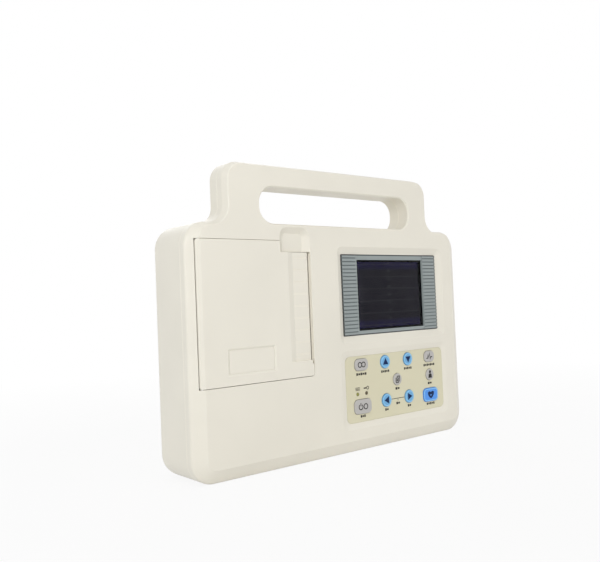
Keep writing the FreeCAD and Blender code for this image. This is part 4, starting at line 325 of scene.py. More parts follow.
def paper_look():
    """Thermal chart paper: a pink grid round the roll, and the edges of its turns on the ends."""
    look = Look("chart_paper", Roughness=0.7)
    low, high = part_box("paper_roll")
    middle = (low + high) / 2
    x = look.math("SUBTRACT", look.axis("X"), middle.x)
    y = look.math("SUBTRACT", look.axis("Y"), middle.y)
    radius = look.math("SQRT", look.math("ADD", look.math("MULTIPLY", x, x), look.math("MULTIPLY", y, y)))
    around = look.math("MULTIPLY", look.math("ARCTAN2", y, x), (high.x - low.x) / 2)
    fine = []
    bold = []
    for along in (around, look.axis("Z")):
        for lines, (pitch, width) in ((fine, FINE_GRID), (bold, BOLD_GRID)):
            wave = look.math("PINGPONG", along, pitch / 2)
            lines.append(look.math("LESS_THAN", wave, width / 2))
    grid = look.math("MAXIMUM", look.math("MULTIPLY", look.math("MAXIMUM", *fine), 0.35),
                     look.math("MULTIPLY", look.math("MAXIMUM", *bold), 0.8))
    white = look.blend(look.spread(look.noise(400.0, 4.0), 0, 1), *PAPER_WHITE)
    sheet = look.blend(grid, white, PAPER_PINK)
    turns = look.math("PINGPONG", radius, PAPER_TURN)
    layers = look.blend(look.spread(turns, 0.0, 1.0, 0.0, PAPER_TURN), PAPER_EDGE, white)
    facing = look.node("SeparateXYZ", {"Vector": look.node("NewGeometry").outputs["Normal"]}).outputs["Z"]
    on_end = look.math("GREATER_THAN", look.math("ABSOLUTE", facing), 0.7)
    look.feed("Base Color", look.blend(on_end, sheet, layers))
    look.feed("Normal", look.bump(look.noise(1800.0, 4.0), 0.3, 0.00002))
    return look.material


def board_look():
    """A circuit board: solder mask over a web of copper tracks, speckled with vias."""
    look = Look("solder_mask", Roughness=0.3, Coat_Weight=0.3)
    cells = look.node("TexVoronoi", {"Vector": look.place(), "Scale": 260.0}, feature="DISTANCE_TO_EDGE")
    tracks = look.spread(cells.outputs["Distance"], 1.0, 0.0, 0.03, 0.09)
    green = look.blend(look.spread(look.noise(50.0), 0, 1), (0.012, 0.11, 0.04, 1), (0.018, 0.15, 0.055, 1))
    colours = look.blend(tracks, green, (0.04, 0.26, 0.1, 1))
    dots = look.node("TexVoronoi", {"Vector": look.place(), "Scale": 180.0}).outputs["Distance"]
    via = look.math("LESS_THAN", dots, 0.1)
    look.feed("Base Color", look.blend(via, colours, (0.6, 0.55, 0.4, 1)))
    look.feed("Normal", look.bump(tracks, 0.25, 0.00003))
    return look.material


def film_look():
    """A flat cable: amber film with rows of conductors."""
    look = Look("amber_film", Roughness=0.35)
    wave = look.math("PINGPONG", look.axis("X"), 0.0005)
    copper = look.spread(wave, 0.0, 1.0, 0.00022, 0.00028)
    look.feed("Base Color", look.blend(copper, (0.62, 0.3, 0.08, 1), (0.45, 0.2, 0.05, 1)))
    look.feed("Normal", look.bump(copper, 0.3, 0.00002))
    return look.material


# The print head: how far its heating line and its leads reach from the middle, and the pitch of the leads.
HEAT_LINE = (0.0003, 0.0005)
LEAD_REACH = 0.0035
LEAD_HALF_PITCH = 0.00025
LEAD_EDGE = 0.00013


def ceramic_look():
    """A thermal head: glazed ceramic with copper leads and the dark line of its heating dots."""
    look = Look("glazed_ceramic", Roughness=0.18, Coat_Weight=0.4)
    low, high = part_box("print_head")
    middle = (low.x + high.x) / 2
    off = look.math("ABSOLUTE", look.math("SUBTRACT", look.axis("X"), middle))
    line = look.spread(off, 1.0, 0.0, *HEAT_LINE)
    comb = look.math("PINGPONG", look.axis("Z"), LEAD_HALF_PITCH)
    on_lead = look.math("GREATER_THAN", comb, LEAD_EDGE)
    leads = look.math("MULTIPLY", on_lead, look.math("LESS_THAN", off, LEAD_REACH))
    glaze = look.blend(look.spread(look.noise(200.0), 0, 1), (0.7, 0.67, 0.58, 1), (0.78, 0.75, 0.66, 1))
    with_leads = look.blend(look.math("MULTIPLY", leads, 0.6), glaze, (0.55, 0.42, 0.2, 1))
    look.feed("Base Color", look.blend(line, with_leads, (0.1, 0.05, 0.03, 1)))
    return look.material


def lamp_look(name, colour):
    """A tinted lamp lens with a slight swirl in its tint."""
    look = Look(name, Roughness=0.16, Transmission_Weight=0.35, IOR=1.5)
    swirl = look.spread(look.noise(700.0, 2.0), 0.0, 1.0)
    look.feed("Base Color", look.blend(swirl, tone(colour, 0.8), tone(colour, 1.2)))
    return look.material


def wrap_look():
    """Heat-shrunk sleeve round battery cells: glossy, with fine wrinkles."""
    look = Look("shrink_sleeve", Roughness=0.22, Coat_Weight=0.3)
    folds = look.noise(140.0, 5.0, (1, 1, 4))
    look.feed("Base Color", look.blend(look.spread(folds, 0, 1), (0.03, 0.06, 0.16, 1), (0.05, 0.1, 0.25, 1)))
    look.feed("Normal", look.bump(folds, 0.4, 0.0002))
    return look.material


IVORY = (0.800, 0.765, 0.670)

LOOKS = {
    "casing_ivory": moulded("ivory_shell", IVORY, rough=0.36),
    "door_ivory": moulded("ivory_door", IVORY, rough=0.36),
    "battery_door_ivory": moulded("ivory_battery_door", tone(IVORY, 0.98)),
    "label_ivory": moulded("ivory_plate", tone(IVORY, 1.01), rough=0.42, grain=4200.0, edge=0),
    "bezel_grey": bezel_look(),
    "window_clear": clear_look(),
    "lcd_dark": lcd_look(),
    "light_box_white": moulded("white_light_box", (0.82, 0.82, 0.8), edge=0),
    "keypad_khaki": moulded("khaki_sheet", (0.690, 0.652, 0.474), rough=0.5, grain=3600.0, edge=0,
                            crevice_shade=0.1),
    # The keys take strong painted shade round their edges and in their corners.
    "key_blue": moulded("blue_key", (0.15, 0.40, 0.70), rough=0.36, edge=0.02, crevice_shade=0.35),
    "key_bright_blue": moulded("bright_blue_key", (0.075, 0.30, 0.85), rough=0.34, edge=0.02, crevice_shade=0.35),
    "key_grey": moulded("grey_key", (0.49, 0.475, 0.46), rough=0.4, edge=0.02, crevice_shade=0.4),
    "lamp_tinted": lamp_look("green_lens", (0.42, 0.42, 0.10)),
    "steel": metal("bright_steel", (0.62, 0.62, 0.63)),
    "bracket_zinc": metal("zinc_plate", (0.60, 0.61, 0.63), 0.36),
    "foot_rubber": rubber("grey_rubber", (0.09, 0.09, 0.088)),
    "roller_rubber": rubber("black_rubber", (0.035, 0.035, 0.038)),
    "battery_wrap": wrap_look(),
    "tray_grey": moulded("grey_tray", (0.50, 0.49, 0.45), rough=0.5),
    "gear_white": moulded("acetal_white", (0.78, 0.78, 0.75), rough=0.35, grain=1800.0),
    "paper_white": paper_look(),
    "spindle_grey": moulded("dark_grey_spindle", (0.26, 0.26, 0.26), rough=0.45),
    "head_ceramic": ceramic_look(),
    "sink_aluminium": metal("extruded_aluminium", (0.74, 0.75, 0.76), 0.34, (1, 1, 60)),
    "board_green": board_look(),
    "part_black": moulded("black_plastic", (0.022, 0.022, 0.023), rough=0.4, mottle=0.12, crevice_shade=0.0),
    "ribbon_film": film_look(),
    "pin_brass": metal("nickel_brass", (0.72, 0.66, 0.5), 0.24, (40, 1, 1)),
    "socket_plate": metal("tinned_shell", (0.58, 0.58, 0.58), 0.3, (1, 1, 30)),
}
BROWN_LENS = lamp_look("brown_lens", (0.16, 0.13, 0.07))
INK_WHITE = printed("white_ink", (0.7, 0.7, 0.68))
INK_NAVY = printed("navy_ink", (0.006, 0.022, 0.085))
INK_DARK = printed("dark_ink", (0.035, 0.032, 0.03))
RIM_BLUE = printed("pale_blue_ink", (0.30, 0.60, 0.86))

for entry in frame["record"]["subparts"]:
    slots = frame["nodes"][entry["node"]].data.materials
    slots.clear()
    slots.append(LOOKS[entry["material_slot"]])


# Shapes

WELD = 1e-7
SHARP_ANGLE = math.radians(35.0)
CORNER_STEPS = 6
FRONT = Vector((0, -1, 0))
BACK = Vector((0, 1, 0))
RIGHT = Vector((1, 0, 0))
UP = Vector((0, 0, 1))


def finish_mesh(name, mesh, body, material):
    """Turns a bmesh into a piece that rides on a body."""
    bmesh.ops.remove_doubles(mesh, verts=mesh.verts, dist=WELD)
    bmesh.ops.recalc_face_normals(mesh, faces=mesh.faces)
    data = bpy.data.meshes.new(name)
    mesh.to_mesh(data)
    mesh.free()
    data.materials.append(material)
    data.shade_smooth()
    data.set_sharp_from_angle(angle=SHARP_ANGLE)
    piece = bpy.data.objects.new(name, data)
    SCENE.collection.objects.link(piece)
    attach(piece, body)
    return piece


def add_prism(mesh, loops, start, end, turn=Matrix()):
    """A flat shape with holes, drawn across X and Z in millimetres, between two depths in metres."""
    edges = []
    for loop in loops:
        verts = [mesh.verts.new((x * MM, start, z * MM)) for x, z in loop]
        edges += [mesh.edges.new((verts[n - 1], verts[n])) for n in range(len(verts))]
    filled = bmesh.ops.triangle_fill(mesh, edges=edges, use_beauty=True, use_dissolve=False)
    faces = [item for item in filled["geom"] if isinstance(item, bmesh.types.BMFace)]
    first = {vert for face in faces for vert in face.verts}
    grown = bmesh.ops.extrude_face_region(mesh, geom=faces)
    moved = [item for item in grown["geom"] if isinstance(item, bmesh.types.BMVert)]
    bmesh.ops.translate(mesh, verts=moved, vec=(0, end - start, 0))
    bmesh.ops.transform(mesh, matrix=turn, verts=list(first) + moved)


def add_turned(mesh, profile, spot, axis, steps=48):
    """A turned shape: radius and distance along the axis in millimetres, from one end to the other."""
    side = UP if axis != UP else RIGHT
    other = axis.cross(side)
    angles = [2 * math.pi * n / steps for n in range(steps)]
    rows = []
    for radius, along in profile:
        centre = spot + axis * along * MM
        if radius:
            rows.append([mesh.verts.new(centre + (side * math.cos(a) + other * math.sin(a)) * radius * MM)
                         for a in angles])
        else:
            rows.append([mesh.verts.new(centre)])
    for first, second in zip(rows, rows[1:]):
        for n in range(steps):
            corners = [first[n % len(first)], first[(n + 1) % len(first)],
                       second[(n + 1) % len(second)], second[n % len(second)]]
            mesh.faces.new(list(dict.fromkeys(corners)))


def carve(mesh, tool):
    """A mesh with the shape of another taken out of it."""
    holders = []
    for item in (mesh, tool):
        bmesh.ops.recalc_face_normals(item, faces=item.faces)
        data = bpy.data.meshes.new("carving")
        item.to_mesh(data)
        item.free()
        holder = bpy.data.objects.new("carving", data)
        SCENE.collection.objects.link(holder)
        holders.append(holder)
    change = holders[0].modifiers.new("carving", "BOOLEAN")
    change.object = holders[1]
    change.operation = "DIFFERENCE"
    change.solver = "EXACT"
    carved = holders[0].evaluated_get(bpy.context.evaluated_depsgraph_get())
    result = bmesh.new()
    result.from_mesh(bpy.data.meshes.new_from_object(carved))
    for holder in holders:
        bpy.data.objects.remove(holder)
    return result


def solids(name):
    """The boxes of the separate solids of a CAD node, from left to right."""
    mesh = bmesh.new()
    mesh.from_mesh(frame["nodes"][name].data)
    bmesh.ops.remove_doubles(mesh, verts=mesh.verts, dist=WELD)
    waiting = set(mesh.verts)
    boxes = []
    while waiting:
        reached = [waiting.pop()]
        for vert in reached:
            for edge in vert.link_edges:
                other = edge.other_vert(vert)
                if other in waiting:
                    waiting.remove(other)
                    reached.append(other)
        spots = list(zip(*(vert.co for vert in reached)))
        boxes.append((Vector([min(part) for part in spots]), Vector([max(part) for part in spots])))
    mesh.free()
    return sorted(boxes, key=lambda corners: corners[0].x)


def circle(x, z, radius, steps=36):
    return [(x + radius * math.cos(2 * math.pi * n / steps), z + radius * math.sin(2 * math.pi * n / steps))
            for n in range(steps)]


def ring(x, z, outer, inner):
    return [circle(x, z, outer), circle(x, z, inner)[::-1]]


def block(x, z, width, height, corner=0.0):
    """A rectangle about a spot, with rounded corners."""
    if not corner:
        return [(x - width / 2, z - height / 2), (x + width / 2, z - height / 2),
                (x + width / 2, z + height / 2), (x - width / 2, z + height / 2)]
    points = []
    for sx, sz, turn in ((1, -1, -90), (1, 1, 0), (-1, 1, 90), (-1, -1, 180)):
        for n in range(CORNER_STEPS + 1):
            angle = math.radians(turn + 90 * n / CORNER_STEPS)
            points.append((x + sx * (width / 2 - corner) + corner * math.cos(angle),
                           z + sz * (height / 2 - corner) + corner * math.sin(angle)))
    return points


def plus(x, z, reach, half):
    """A cross with arms of one width."""
    arm = [(half, -reach), (half, -half), (reach, -half)]
    return [(x + a * c - b * s, z + a * s + b * c)
            for c, s in ((1, 0), (0, 1), (-1, 0), (0, -1)) for a, b in arm]


def stroke(points, width):
    """A line of one width along points, with mitred bends."""
    spots = [Vector(point) for point in points]
    sides = []
    for n, spot in enumerate(spots):
        before = (spot - spots[n - 1]).normalized() if n else (spots[1] - spot).normalized()
        after = (spots[n + 1] - spot).normalized() if n + 1 < len(spots) else before
        bisector = (before + after).normalized()
        across = Vector((-bisector.y, bisector.x))
        reach = width / 2 / max(0.5, bisector.dot(before))
        sides.append((spot + across * reach, spot - across * reach))
    return [tuple(side[0]) for side in sides] + [tuple(side[1]) for side in reversed(sides)]


def arc(x, z, radius, start, end, steps=28):
    angles = [math.radians(start + (end - start) * n / steps) for n in range(steps + 1)]
    return [(x + radius * math.cos(angle), z + radius * math.sin(angle)) for angle in angles]


def middle_at(low, high, y):
    """The middle of a box across X and Z, at a depth."""
    return Vector(((low.x + high.x) / 2, y, (low.z + high.z) / 2))


# Marks printed on the keys and on the keypad: how far ink stands out, and how far it reaches into the face.

PRINT = 0.00005
SINK = 0.00002


def mark(name, shapes, face_y, body, ink):
    """Printed shapes lying on a face that looks to the front. Each shape is a list of loops."""
    mesh = bmesh.new()
    for loops in shapes:
        add_prism(mesh, loops, face_y + SINK, face_y - PRINT)
    return finish_mesh(name, mesh, body, ink)


def moved(points, across, up):
    return [(across + x, up + z) for x, z in points]


def key_middle(name):
    low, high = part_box(name)
    return (low.x + high.x) / 2 / MM, (low.z + high.z) / 2 / MM, low.y


def key_mark(name, draw, ink):
    """Marks on a key: draw gives their shapes about its middle."""
    across, up, face = key_middle(name)
    mark(name + "_mark", draw(across, up), face, name + "_body", ink)


ARROW = [(-3.3, -2.3), (3.3, -2.3), (0, 3.3)]
WAVE = [(-4.0, -1.7), (-2.5, -1.7), (-1.5, 1.5), (-0.6, -1.9), (0.4, 3.0), (1.3, -2.5), (2.0, -0.6),
        (4.0, -0.6)]
FIGURE = [(-2.5, -3.1), (2.5, -3.1), (2.0, 0.1), (1.0, 0.9), (-1.0, 0.9), (-2.0, 0.1)]
SHIELD = [(-4.3, 2.2), (-2.3, 3.2), (0, 2.4), (2.3, 3.2), (4.3, 2.2), (3.9, 0.0), (2.3, -2.2), (0, -3.6),
          (-2.3, -2.2), (-3.9, 0.0)]
SHIELD_GAP = [(-1.4, 0.1), (0, -1.6), (1.4, 0.1)]


def arrow(turn):
    """A function that draws an arrow head, turned from pointing up."""
    spin = math.radians(turn)
    cos, sin = math.cos(spin), math.sin(spin)
    points = [(x * cos - z * sin, x * sin + z * cos) for x, z in ARROW]
    return lambda across, up: [[moved(points, across, up)]]


def mode_mark(across, up):
    return [ring(across - 2.1, up, 2.45, 1.6), ring(across + 2.1, up, 2.45, 1.6)]


def filter_mark(across, up):
    return [[stroke(moved(WAVE, across, up), 0.95)]]


def copy_mark(across, up):
    sheet = [block(across - 0.8, up - 0.8, 3.8, 4.9, 0.5), block(across - 0.8, up - 0.8, 2.2, 3.3)[::-1]]
    behind = stroke([(across - 1.2, up + 2.7), (across + 2.3, up + 2.7), (across + 2.3, up - 2.2)], 0.8)
    line = block(across - 0.8, up - 0.8, 1.3, 2.0)
    return [sheet, [behind], [line]]


def patient_mark(across, up):
    return [[circle(across, up + 2.5, 1.4)], [moved(FIGURE, across, up)]]


def power_mark(across, up):
    opened = stroke(arc(across - 2.9, up - 0.2, 2.2, 125, 415), 0.85)
    return [[opened], [block(across - 2.9, up + 1.8, 0.85, 2.8)], ring(across + 2.8, up - 0.2, 2.6, 1.75)]


def print_mark(across, up):
    return [[moved(SHIELD, across, up), moved(SHIELD_GAP, across, up)]]


ARROW_KEYS = {"key_up": 0, "key_down": 180, "key_left": 90, "key_right": -90}
for name, turn in ARROW_KEYS.items():
    key_mark(name, arrow(turn), INK_NAVY)
key_mark("key_print", print_mark, INK_NAVY)
for name, draw in (("key_mode", mode_mark), ("key_filter", filter_mark), ("key_copy", copy_mark),
                   ("key_patient", patient_mark), ("key_power", power_mark)):
    key_mark(name, draw, INK_DARK)

# A pale band round the face of each blue key, inside the flange that holds the key under the sheet
KEY_FLANGE = 1.2
KEY_CORNER = 4.0
RIM_INSET = 0.6
RIM_BAND = 0.75


def key_rim(name):
    """A paler band near the edge of a key's face."""
    low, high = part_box(name)
    across, up, face = key_middle(name)
    loops = []
    for inset in (RIM_INSET, RIM_INSET + RIM_BAND):
        width = (high.x - low.x) / MM - 2 * (KEY_FLANGE + inset)
        height = (high.z - low.z) / MM - 2 * (KEY_FLANGE + inset)
        if name in ARROW_KEYS:
            loops.append(circle(across, up, width / 2))
        else:
            loops.append(block(across, up, width, height, KEY_CORNER - inset))
    mark(name + "_rim", [[loops[0], loops[1][::-1]]], face, name + "_body", RIM_BLUE)


for name in ARROW_KEYS:
    key_rim(name)
key_rim("key_print")

# Captions: the width of each row of dashes, and how far it lies below its key.
DASH_PITCH = 2.3
DASH_GAP = 0.5
DASH_HEIGHT = 2.1
DASH_STEP = 0.5
CAPTIONS = {
    "key_mode": (12.4, 2.9), "key_up": (10.4, 2.6), "key_down": (10.4, 2.5), "key_filter": (15.4, 2.7),
    "key_copy": (5.6, 2.8), "key_patient": (5.6, 2.6), "key_left": (4.6, 2.4), "key_right": (4.6, 2.4),
    "key_power": (6.2, 2.1), "key_print": (11.2, 2.0),
}
pad_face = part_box("keypad_overlay")[0].y


def caption(across, up, width):
    """A row of short dashes that stands for printed words."""
    count = round(width / DASH_PITCH)
    pitch = width / count
    dash_row = []
    for n in range(count):
        height = DASH_HEIGHT - DASH_STEP * (n % 2)
        dash_row.append([block(across - width / 2 + pitch * (n + 0.5), up, pitch - DASH_GAP, height)])
    return dash_row


dashes = []
for name, (width, drop) in CAPTIONS.items():
    low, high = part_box(name)
    dashes += caption((low.x + high.x) / 2 / MM, low.z / MM + KEY_FLANGE - drop, width)
mark("keypad_captions", dashes, pad_face, CASING, INK_DARK)

# A line between the left and the right key, with a tail down to a caption of its own
LINK_REACH = 6.2
LINK_LINE = 0.5
LINK_TAIL = 1.8
LINK_TAIL_DROP = 1.2
LINK_CAPTION = 5.0
LINK_CAPTION_DROP = 4.2
left_x, row, _ = key_middle("key_left")
right_x, _, _ = key_middle("key_right")
link_x = (left_x + right_x) / 2
link = [[block(link_x, row, right_x - left_x - 2 * LINK_REACH, LINK_LINE)],
        [block(link_x, row - LINK_TAIL_DROP, LINK_LINE, LINK_TAIL)]]
link += caption(link_x, row - LINK_CAPTION_DROP, LINK_CAPTION)
mark("keypad_link", link, pad_face, CASING, INK_DARK)

# The two lamps and the marks above them
ICON_RISE = 4.4
LAMP_LENGTH = 8.0
LENS = [(0, 0.4), (0.5, 0.35), (1.0, 0.15), (1.35, -0.15), (1.5, -0.5), (1.5, -LAMP_LENGTH),
        (0, -LAMP_LENGTH)]
left_lamp, right_lamp = solids("indicator_leds")
for name, (low, high), lens_look in (("lamp_mains", left_lamp, LOOKS["lamp_tinted"]),
                                     ("lamp_battery", right_lamp, BROWN_LENS)):
    mesh = bmesh.new()
    add_turned(mesh, LENS, middle_at(low, high, low.y), FRONT)
    lens = finish_mesh(name, mesh, CASING, lens_look)
    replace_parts(lens, "indicator_leds")
lamp_row = (left_lamp[0].z + left_lamp[1].z) / 2 / MM + ICON_RISE
mains_x = (left_lamp[0].x + left_lamp[1].x) / 2 / MM
cell_x = (right_lamp[0].x + right_lamp[1].x) / 2 / MM
bars = [[block(mains_x, lamp_row + step, 5.0, 0.5)] for step in (-1.0, 0.0, 1.0)]
cell = [[block(cell_x - 1.6, lamp_row, 3.2, 1.1)], ring(cell_x + 1.5, lamp_row, 1.5, 0.95)]
mark("keypad_lamp_marks", bars + cell, pad_face, CASING, INK_DARK)


# Fittings at the back

SCREW = [(0, 0), (1.2, -0.06), (2.1, -0.3), (2.65, -0.75), (2.9, -1.4), (2.9, -2.0), (1.5, -2.0),
         (1.5, -10.4), (1.0, -11.0), (0, -11.0)]
RECESS_REACH = 1.75
RECESS_HALF = 0.42
RECESS_DEPTH = 0.0013
heads = bmesh.new()
recesses = bmesh.new()
for low, high in solids("casing_screws"):
    spot = middle_at(low, high, high.y)
    add_turned(heads, SCREW, spot, BACK)
    cross = plus(spot.x / MM, spot.z / MM, RECESS_REACH, RECESS_HALF)
    add_prism(recesses, [cross], high.y - RECESS_DEPTH, high.y + RECESS_DEPTH)
screws = finish_mesh("screws_with_recess", carve(heads, recesses), CASING, LOOKS["steel"])
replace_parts(screws, "casing_screws")

FOOT = [(0, 0), (7.0, 0), (7.0, 1.0), (6.75, 1.5), (6.2, 1.85), (5.2, 2.0), (3.9, 2.0), (3.4, 1.75),
        (3.1, 1.35), (0, 1.25)]
mesh = bmesh.new()
for low, high in solids("rear_feet"):
    add_turned(mesh, FOOT, middle_at(low, high, low.y), BACK)
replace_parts(finish_mesh("feet_dished", mesh, CASING, LOOKS["foot_rubber"]), "rear_feet")


# Behind the door and along its edges

# The coil springs of the print head, each filling the box of its solid.
COIL_TURNS = 5.0
COIL_STEPS = 28
WIRE = 0.25
WIRE_SIDES = 10


def add_coil(mesh, low, high):
    """A coil spring along Y that fills a box."""
    middle = (low + high) / 2
    radius = (high.x - low.x) / 2 - WIRE * MM
    start = low.y + WIRE * MM
    rise = high.y - low.y - 2 * WIRE * MM
    count = round(COIL_TURNS * COIL_STEPS)
    sides = [2 * math.pi * k / WIRE_SIDES for k in range(WIRE_SIDES)]
    rows = []
    for n in range(count + 1):
        angle = 2 * math.pi * n / COIL_STEPS
        outward = Vector((math.cos(angle), 0, math.sin(angle)))
        centre = Vector((middle.x, start + rise * n / count, middle.z)) + outward * radius
        rows.append([mesh.verts.new(centre + (outward * math.cos(a) + BACK * math.sin(a)) * WIRE * MM)
                     for a in sides])
    for first, second in zip(rows, rows[1:]):
        for k in range(WIRE_SIDES):
            mesh.faces.new((first[k - 1], first[k], second[k], second[k - 1]))
    mesh.faces.new(rows[0])
    mesh.faces.new(rows[-1])


mesh = bmesh.new()
for low, high in solids("head_springs"):
    add_coil(mesh, low, high)
springs = finish_mesh("head_coils", mesh, CASING, LOOKS["steel"])
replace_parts(springs, "head_springs")
low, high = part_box("head_springs")
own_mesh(springs)

# Rounded edges that close the door's gaps from behind: a barrel about the hinge, and a lip along the top.
# Both are drawn from above: across is X, up is Y.
LEVEL = Matrix(((1, 0, 0, 0), (0, 0, 1, 0), (0, 1, 0, 0), (0, 0, 0, 1)))
EDGE_SWEEP = 2.2
EDGE_START = 217.3
EDGE_STOP = 167.0
EDGE_ROOT = 1.3
EDGE_ENDS = 0.001
LIP_RISE = 0.00033
LIP_ROOT = 0.0001
LIP_FRONT = 0.8
LIP_BACK = 1.6
LIP_SHORT = 28.0
low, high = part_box("door_hinge_pins")
hinge = (low + high) / 2 / MM
low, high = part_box("paper_door")
barrel = arc(hinge.x, hinge.y, EDGE_SWEEP, EDGE_START, EDGE_STOP)
barrel += [(hinge.x - EDGE_ROOT, barrel[-1][1]), (hinge.x - EDGE_ROOT, barrel[0][1])]
mesh = bmesh.new()
add_prism(mesh, [barrel], low.z + EDGE_ENDS, high.z - EDGE_ENDS, LEVEL)
left, right = (low.x + EDGE_ENDS) / MM, high.x / MM - LIP_SHORT
near, far = low.y / MM + LIP_FRONT, low.y / MM + LIP_BACK
lip = [(left, near), (right, near), (right, far), (left, far)]
add_prism(mesh, [lip], high.z - LIP_ROOT, high.z + LIP_RISE, LEVEL)
finish_mesh("door_edges", mesh, "door", LOOKS["door_ivory"])

# A toothed bar beside the paper slot, to tear the paper on
DOOR_GAP = 0.5
TEAR_REACH = 0.8
TEAR_ROOT = 0.5
TEAR_SEAT = 0.1
TEAR_PITCH = 1.0
TEAR_LOW = 10.4
TEAR_HIGH = 9.1
TEAR_FRONT = 0.0019
TEAR_BACK = 0.0027
wall = high.x / MM + DOOR_GAP
bottom = low.z / MM + TEAR_LOW
count = math.floor((high.z / MM - TEAR_HIGH - bottom) / TEAR_PITCH)
teeth = [(wall - TEAR_ROOT, bottom)]
for n in range(count):
    teeth += [(wall - TEAR_REACH, bottom + (n + 0.5) * TEAR_PITCH),
              (wall - TEAR_ROOT, bottom + (n + 1) * TEAR_PITCH)]
teeth += [(wall + TEAR_SEAT, teeth[-1][1]), (wall + TEAR_SEAT, bottom)]
mesh = bmesh.new()
add_prism(mesh, [teeth], low.y + TEAR_FRONT, low.y + TEAR_BACK)
finish_mesh("tear_bar", mesh, CASING, LOOKS["casing_ivory"])

# The paper roll, with a loose outer turn that leaves a seam
CORE_RADIUS = 6.35
WRAP_SKIN = 0.13
WRAP_OPEN = 12.0
ROLL_STEPS = 128
WRAP_STEPS = 120
low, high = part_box("paper_roll")
axle = (low + high) / 2
roll_radius = (high.x - low.x) / 2 / MM
roll_length = (high.z - low.z) / MM
body_radius = roll_radius - WRAP_SKIN
tube = [(CORE_RADIUS, 0), (body_radius, 0), (body_radius, roll_length), (CORE_RADIUS, roll_length),
        (CORE_RADIUS, 0)]
mesh = bmesh.new()
add_turned(mesh, tube, Vector((axle.x, axle.y, low.z)), UP, ROLL_STEPS)
skin = arc(axle.x / MM, axle.y / MM, roll_radius - WRAP_SKIN / 2, WRAP_OPEN, 360 - WRAP_OPEN, WRAP_STEPS)
add_prism(mesh, [stroke(skin, WRAP_SKIN)], low.z, high.z, LEVEL)
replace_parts(finish_mesh("paper_with_tail", mesh, "roll", LOOKS["paper_white"]), "paper_roll")


# Fittings on the right side wall, drawn looking at it from the right: across is Y, up is Z, and depth runs
# inwards.

ON_SIDE = Matrix(((0, -1, 0, 0), (1, 0, 0, 0), (0, 0, 1, 0), (0, 0, 0, 1)))

# The mains rocker: a paddle with a dip in the middle, tilted about its pivot, with an I and an O on its face
ROCKER_TILT = math.radians(8.0)
ROCKER_HALF = 5.0
ROCKER_REACH = 7.6
ROCKER_BACK = -2.8
ROCKER_END = 1.2
ROCKER_DIP = 0.1
ROCKER_SOFT = 0.0004
PIVOT_DEPTH = 0.0002
FRAME_RISE = 0.0016
frame_low, frame_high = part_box("switch_frame")
wall_x = frame_high.x - FRAME_RISE
pivot = Vector((wall_x - PIVOT_DEPTH, (frame_low.y + frame_high.y) / 2, (frame_low.z + frame_high.z) / 2))
tilted = Matrix.Translation(pivot) @ Matrix.Rotation(ROCKER_TILT, 4, "Y")
profile = [(ROCKER_BACK, -ROCKER_REACH), (ROCKER_END, -ROCKER_REACH), (ROCKER_DIP, 0),
           (ROCKER_END, ROCKER_REACH), (ROCKER_BACK, ROCKER_REACH)]
mesh = bmesh.new()
add_prism(mesh, [profile], -ROCKER_HALF * MM, ROCKER_HALF * MM, tilted)
rocker = finish_mesh("rocker_paddle", mesh, "rocker", LOOKS["part_black"])
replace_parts(rocker, "switch_rocker")
soft = rocker.modifiers.new("soft_edges", "BEVEL")
soft.width = ROCKER_SOFT
soft.segments = 3
soft.limit_method = "ANGLE"

slope = math.atan2(ROCKER_END - ROCKER_DIP, ROCKER_REACH)
for name, loops, lean in (("rocker_on", [block(0, 4.2, 0.7, 3.2)], slope),
                          ("rocker_off", ring(0, -4.2, 1.6, 1.05), -slope)):
    mesh = bmesh.new()
    flat = tilted @ Matrix.Translation((ROCKER_DIP * MM, 0, 0)) @ Matrix.Rotation(lean, 4, "Y") @ ON_SIDE
    add_prism(mesh, loops, SINK, -PRINT, flat)
    finish_mesh(name, mesh, "rocker", INK_WHITE)

# The ground terminal: a collared stud outside, with its shank and nut inside
STUD = [(0, 0), (5.5, 0), (5.5, 1.5), (5.0, 2.0), (3.0, 2.0), (3.0, 8.4), (2.55, 8.8), (2.55, 10.0),
        (3.0, 10.4), (3.0, 12.2), (2.3, 13.0), (0, 13.0)]
STUD_INSIDE = [(0, 0), (2.5, 0), (2.5, -8.5), (0, -8.5)]
STUD_NUT = [(0, -2.5), (4.62, -2.5), (4.62, -6.5), (0, -6.5)]
STUD_STEPS = 64
NUT_SIDES = 6
low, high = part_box("ground_terminal")
spot = Vector((wall_x, (low.y + high.y) / 2, (low.z + high.z) / 2))
mesh = bmesh.new()
add_turned(mesh, STUD, spot, RIGHT, STUD_STEPS)
add_turned(mesh, STUD_INSIDE, spot, RIGHT)
add_turned(mesh, STUD_NUT, spot, RIGHT, NUT_SIDES)
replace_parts(finish_mesh("ground_stud", mesh, CASING, LOOKS["pin_brass"]), "ground_terminal")

# The patient socket: a D shell on a plate, an insulator with two rows of holes, and a contact tube in each
SHELL_LONG = 25.2
SHELL_SHORT = 22.4
SHELL_WIDTH = 8.4
SHELL_SKIN = 0.6
CONTACT_PITCH = 2.77
CONTACT_HOLE = 0.72
CONTACT_TUBE = 0.62
CONTACT_BORE = 0.4
CONTACT_STEPS = 16
CONTACT_ROWS = ((8, -0.5), (7, 0.5))
CONTACT_FRONT = 0.0008
CONTACT_BACK = 0.006
INSULATOR_FRONT = 0.0004
INSULATOR_BACK = 0.0002
PLATE_DEPTH = 0.0045
PLATE_THICKNESS = 0.0012
PLATE_WIDTH = 12.5
PLATE_HEIGHT = 39.2
PLATE_CORNER = 1.0
low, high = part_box("patient_socket")
socket_y = (low.y + high.y) / 2 / MM
socket_z = (low.z + high.z) / 2 / MM


